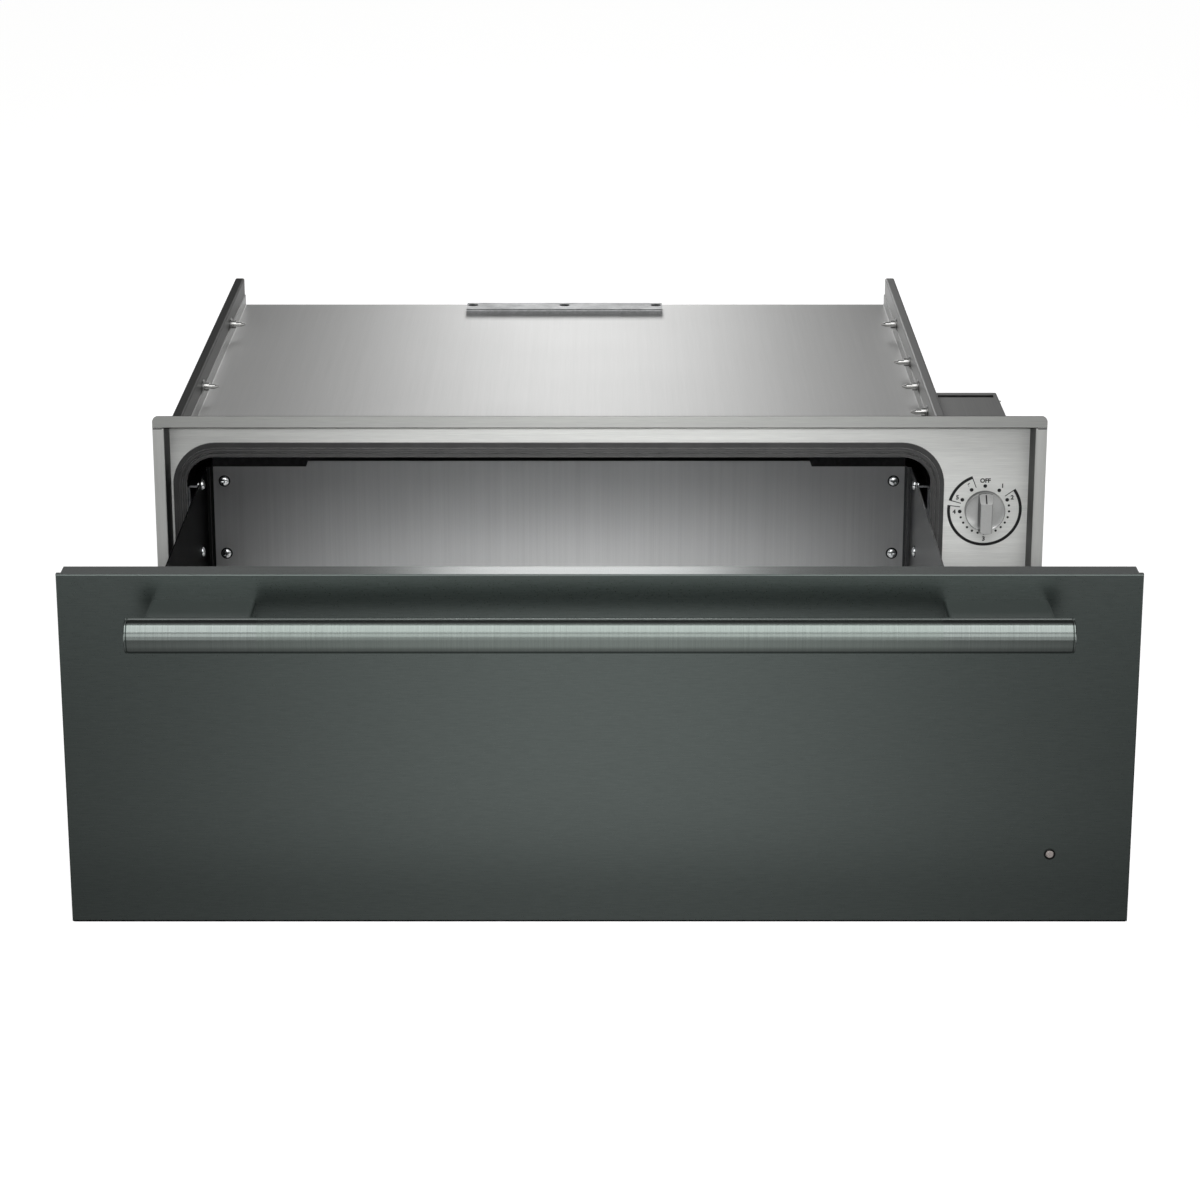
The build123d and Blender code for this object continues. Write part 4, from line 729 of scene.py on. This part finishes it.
def paperFloor(tree, look):
    # Seamless paper: matt and pale, lifted to white for the camera, and glowing with the painted patch
    # for what mirrors it.
    matt = addNode(tree, "BsdfDiffuse", {"Color": toLinear(look["floorColour"])})
    glow = addNode(tree, "Emission", {"Color": (1, 1, 1, 1), "Strength": look["floorGlow"]})
    dark = addNode(tree, "Emission", {"Strength": 0.0})
    ray = addNode(tree, "LightPath").outputs
    seen = addNode(tree, "Math", {"operation": "MAXIMUM"},
                   {0: ray["Is Camera Ray"], 1: ray["Is Transmission Ray"]})
    lift = addNode(tree, "MixShader", links={0: seen, 1: dark, 2: glow})
    lit = addNode(tree, "AddShader", links={0: matt, 1: lift})
    mirrored = addNode(tree, "Emission", links={"Strength": paintedMirrorPatch(tree)})
    return addNode(tree, "MixShader", links={0: ray["Is Glossy Ray"], 1: lit, 2: mirrored})


def addFloor():
    low = min(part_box(name)[0][2] for name in cad) - stage["floorDrop"]
    half = stage["floorSize"] / 2
    mesh = bpy.data.meshes.new("floor")
    corners = [(-half, -half, low), (half, -half, low), (half, half, low), (-half, half, low)]
    mesh.from_pydata(corners, [], [(0, 1, 2, 3)])
    mesh.materials.append(makeMaterial("paperFloor", paperFloor, stage))
    addObject("floor", mesh)


# lights

softboxes = {
    "topBox": {"at": (0.0, -1.5, 2.2), "aim": (0.0, -0.5, 0.2), "size": (2.0, 2.0), "power": 27.0},
    "lowFrontBox": {"at": (0.0, -3.2, 1.2), "aim": (0.0, -0.4, 0.1), "size": (1.6, 1.0), "power": 5.0},
    "backBox": {"at": (-0.03, 2.2, 0.85), "aim": (-0.02, 0.3, 0.2), "size": (0.43, 0.8), "power": 2.65},
}
# these three light paint, rubber and satin metal, but leave no spot of their own in a mirror
spots = {
    "wideSpot": {"at": (0.03, -2.8, 1.0), "aim": (0.03, 0.0, 0.17), "angle": 26.0, "power": 150.0},
    "narrowSpot": {"at": (0.02, -2.8, 1.0), "aim": (0.02, 0.0, 0.17), "angle": 14.0, "power": 320.0},
    "panSpot": {"at": (-0.02, -0.9, 2.0), "aim": (-0.02, -0.12, 0.04), "angle": 13.0, "power": 325.0},
}
spotEdge = {"blend": 1.0, "lampRadius": 0.15}   # how soft a spot's rim and its shadows are


def addLamp(name, light, lamp):
    light.energy = lamp["power"]
    holder = addObject(name, light)
    direction = Vector(lamp["aim"]) - Vector(lamp["at"])
    turn = direction.to_track_quat("-Z", "Y").to_matrix().to_4x4()
    holder.visible_camera = False
    holder.matrix_world = Matrix.Translation(lamp["at"]) @ turn
    return holder


def addLamps():
    for name, lamp in softboxes.items():
        light = bpy.data.lights.new(name, "AREA")
        light.shape = "RECTANGLE"
        light.size, light.size_y = lamp["size"]
        addLamp(name, light, lamp)
    for name, lamp in spots.items():
        light = bpy.data.lights.new(name, "SPOT")
        light.spot_size = math.radians(lamp["angle"])
        light.spot_blend = spotEdge["blend"]
        light.shadow_soft_size = spotEdge["lampRadius"]
        addLamp(name, light, lamp).visible_glossy = False


# world: its two ramps give the backdrop's brightness from the horizon, at 0, to straight overhead, at 1

room = {"shade": 0.3, "blendDepth": 0.15,
        "behindObject": ((0.0, 0.02), (0.27, 0.02), (0.3, 0.35), (0.42, 0.35), (0.48, 0.8), (0.6, 0.8),
                         (0.64, 0.06), (0.94, 0.06), (1.0, 0.5)),
        "behindCamera": ((0.0, 0.8), (0.62, 0.8), (0.67, 0.1), (0.9, 0.06), (0.94, 0.06), (1.0, 0.5))}


def addWorld():
    # white where the camera looks; metal mirrors a pale backdrop that turns dark overhead
    world = bpy.data.worlds.new("studio")
    world.use_nodes = True
    tree = world.node_tree
    tree.nodes.clear()
    coords = addNode(tree, "TexCoord").outputs["Generated"]
    split = addNode(tree, "SeparateXYZ", links={"Vector": coords}).outputs
    behindObject = addNode(tree, "ValToRGB", links={"Fac": split["Z"]}, stops=room["behindObject"])
    behindCamera = addNode(tree, "ValToRGB", links={"Fac": split["Z"]}, stops=room["behindCamera"])
    side = addNode(tree, "MapRange", {"From Min": -room["blendDepth"], "From Max": room["blendDepth"]},
                   {"Value": split["Y"]})
    fade = addNode(tree, "Mix", {"data_type": "RGBA"}, {0: side, 6: behindCamera, 7: behindObject})
    ray = addNode(tree, "LightPath").outputs
    white = addNode(tree, "Background", {"Color": (1, 1, 1, 1), "Strength": 1.0})
    mirrored = addNode(tree, "Background", links={"Color": fade.outputs[2]})
    grey = addNode(tree, "Background", {"Color": (room["shade"], room["shade"], room["shade"], 1)})
    metal = addNode(tree, "Math", {"operation": "MAXIMUM"},
                    {0: ray["Is Glossy Ray"], 1: ray["Is Transmission Ray"]})
    first = addNode(tree, "MixShader", links={0: metal, 1: grey, 2: mirrored})
    second = addNode(tree, "MixShader", links={0: ray["Is Camera Ray"], 1: first, 2: white})
    addNode(tree, "OutputWorld", links={"Surface": second})
    bpy.context.scene.world = world


# camera: the photograph's viewing angle

view = {"at": (0.000139, -2.76787, 0.96607), "pitch": 17.73, "focalPixels": 3468.0, "framePixels": 1200.0,
        "sensorWidth": 36.0, "clipEnd": 60.0}


def addCamera():
    camera = bpy.data.cameras.new("photoCamera")
    camera.sensor_fit = "HORIZONTAL"
    camera.sensor_width = view["sensorWidth"]
    camera.lens = view["focalPixels"] / view["framePixels"] * view["sensorWidth"]
    camera.clip_end = view["clipEnd"]
    holder = addObject("photoCamera", camera)
    holder.location = view["at"]
    holder.rotation_euler = (math.radians(90 - view["pitch"]), 0, 0)
    bpy.context.scene.camera = holder


addFloor()
addLamps()
addWorld()
addCamera()
bpy.context.scene.view_settings.view_transform = "Standard"
print("stage set")
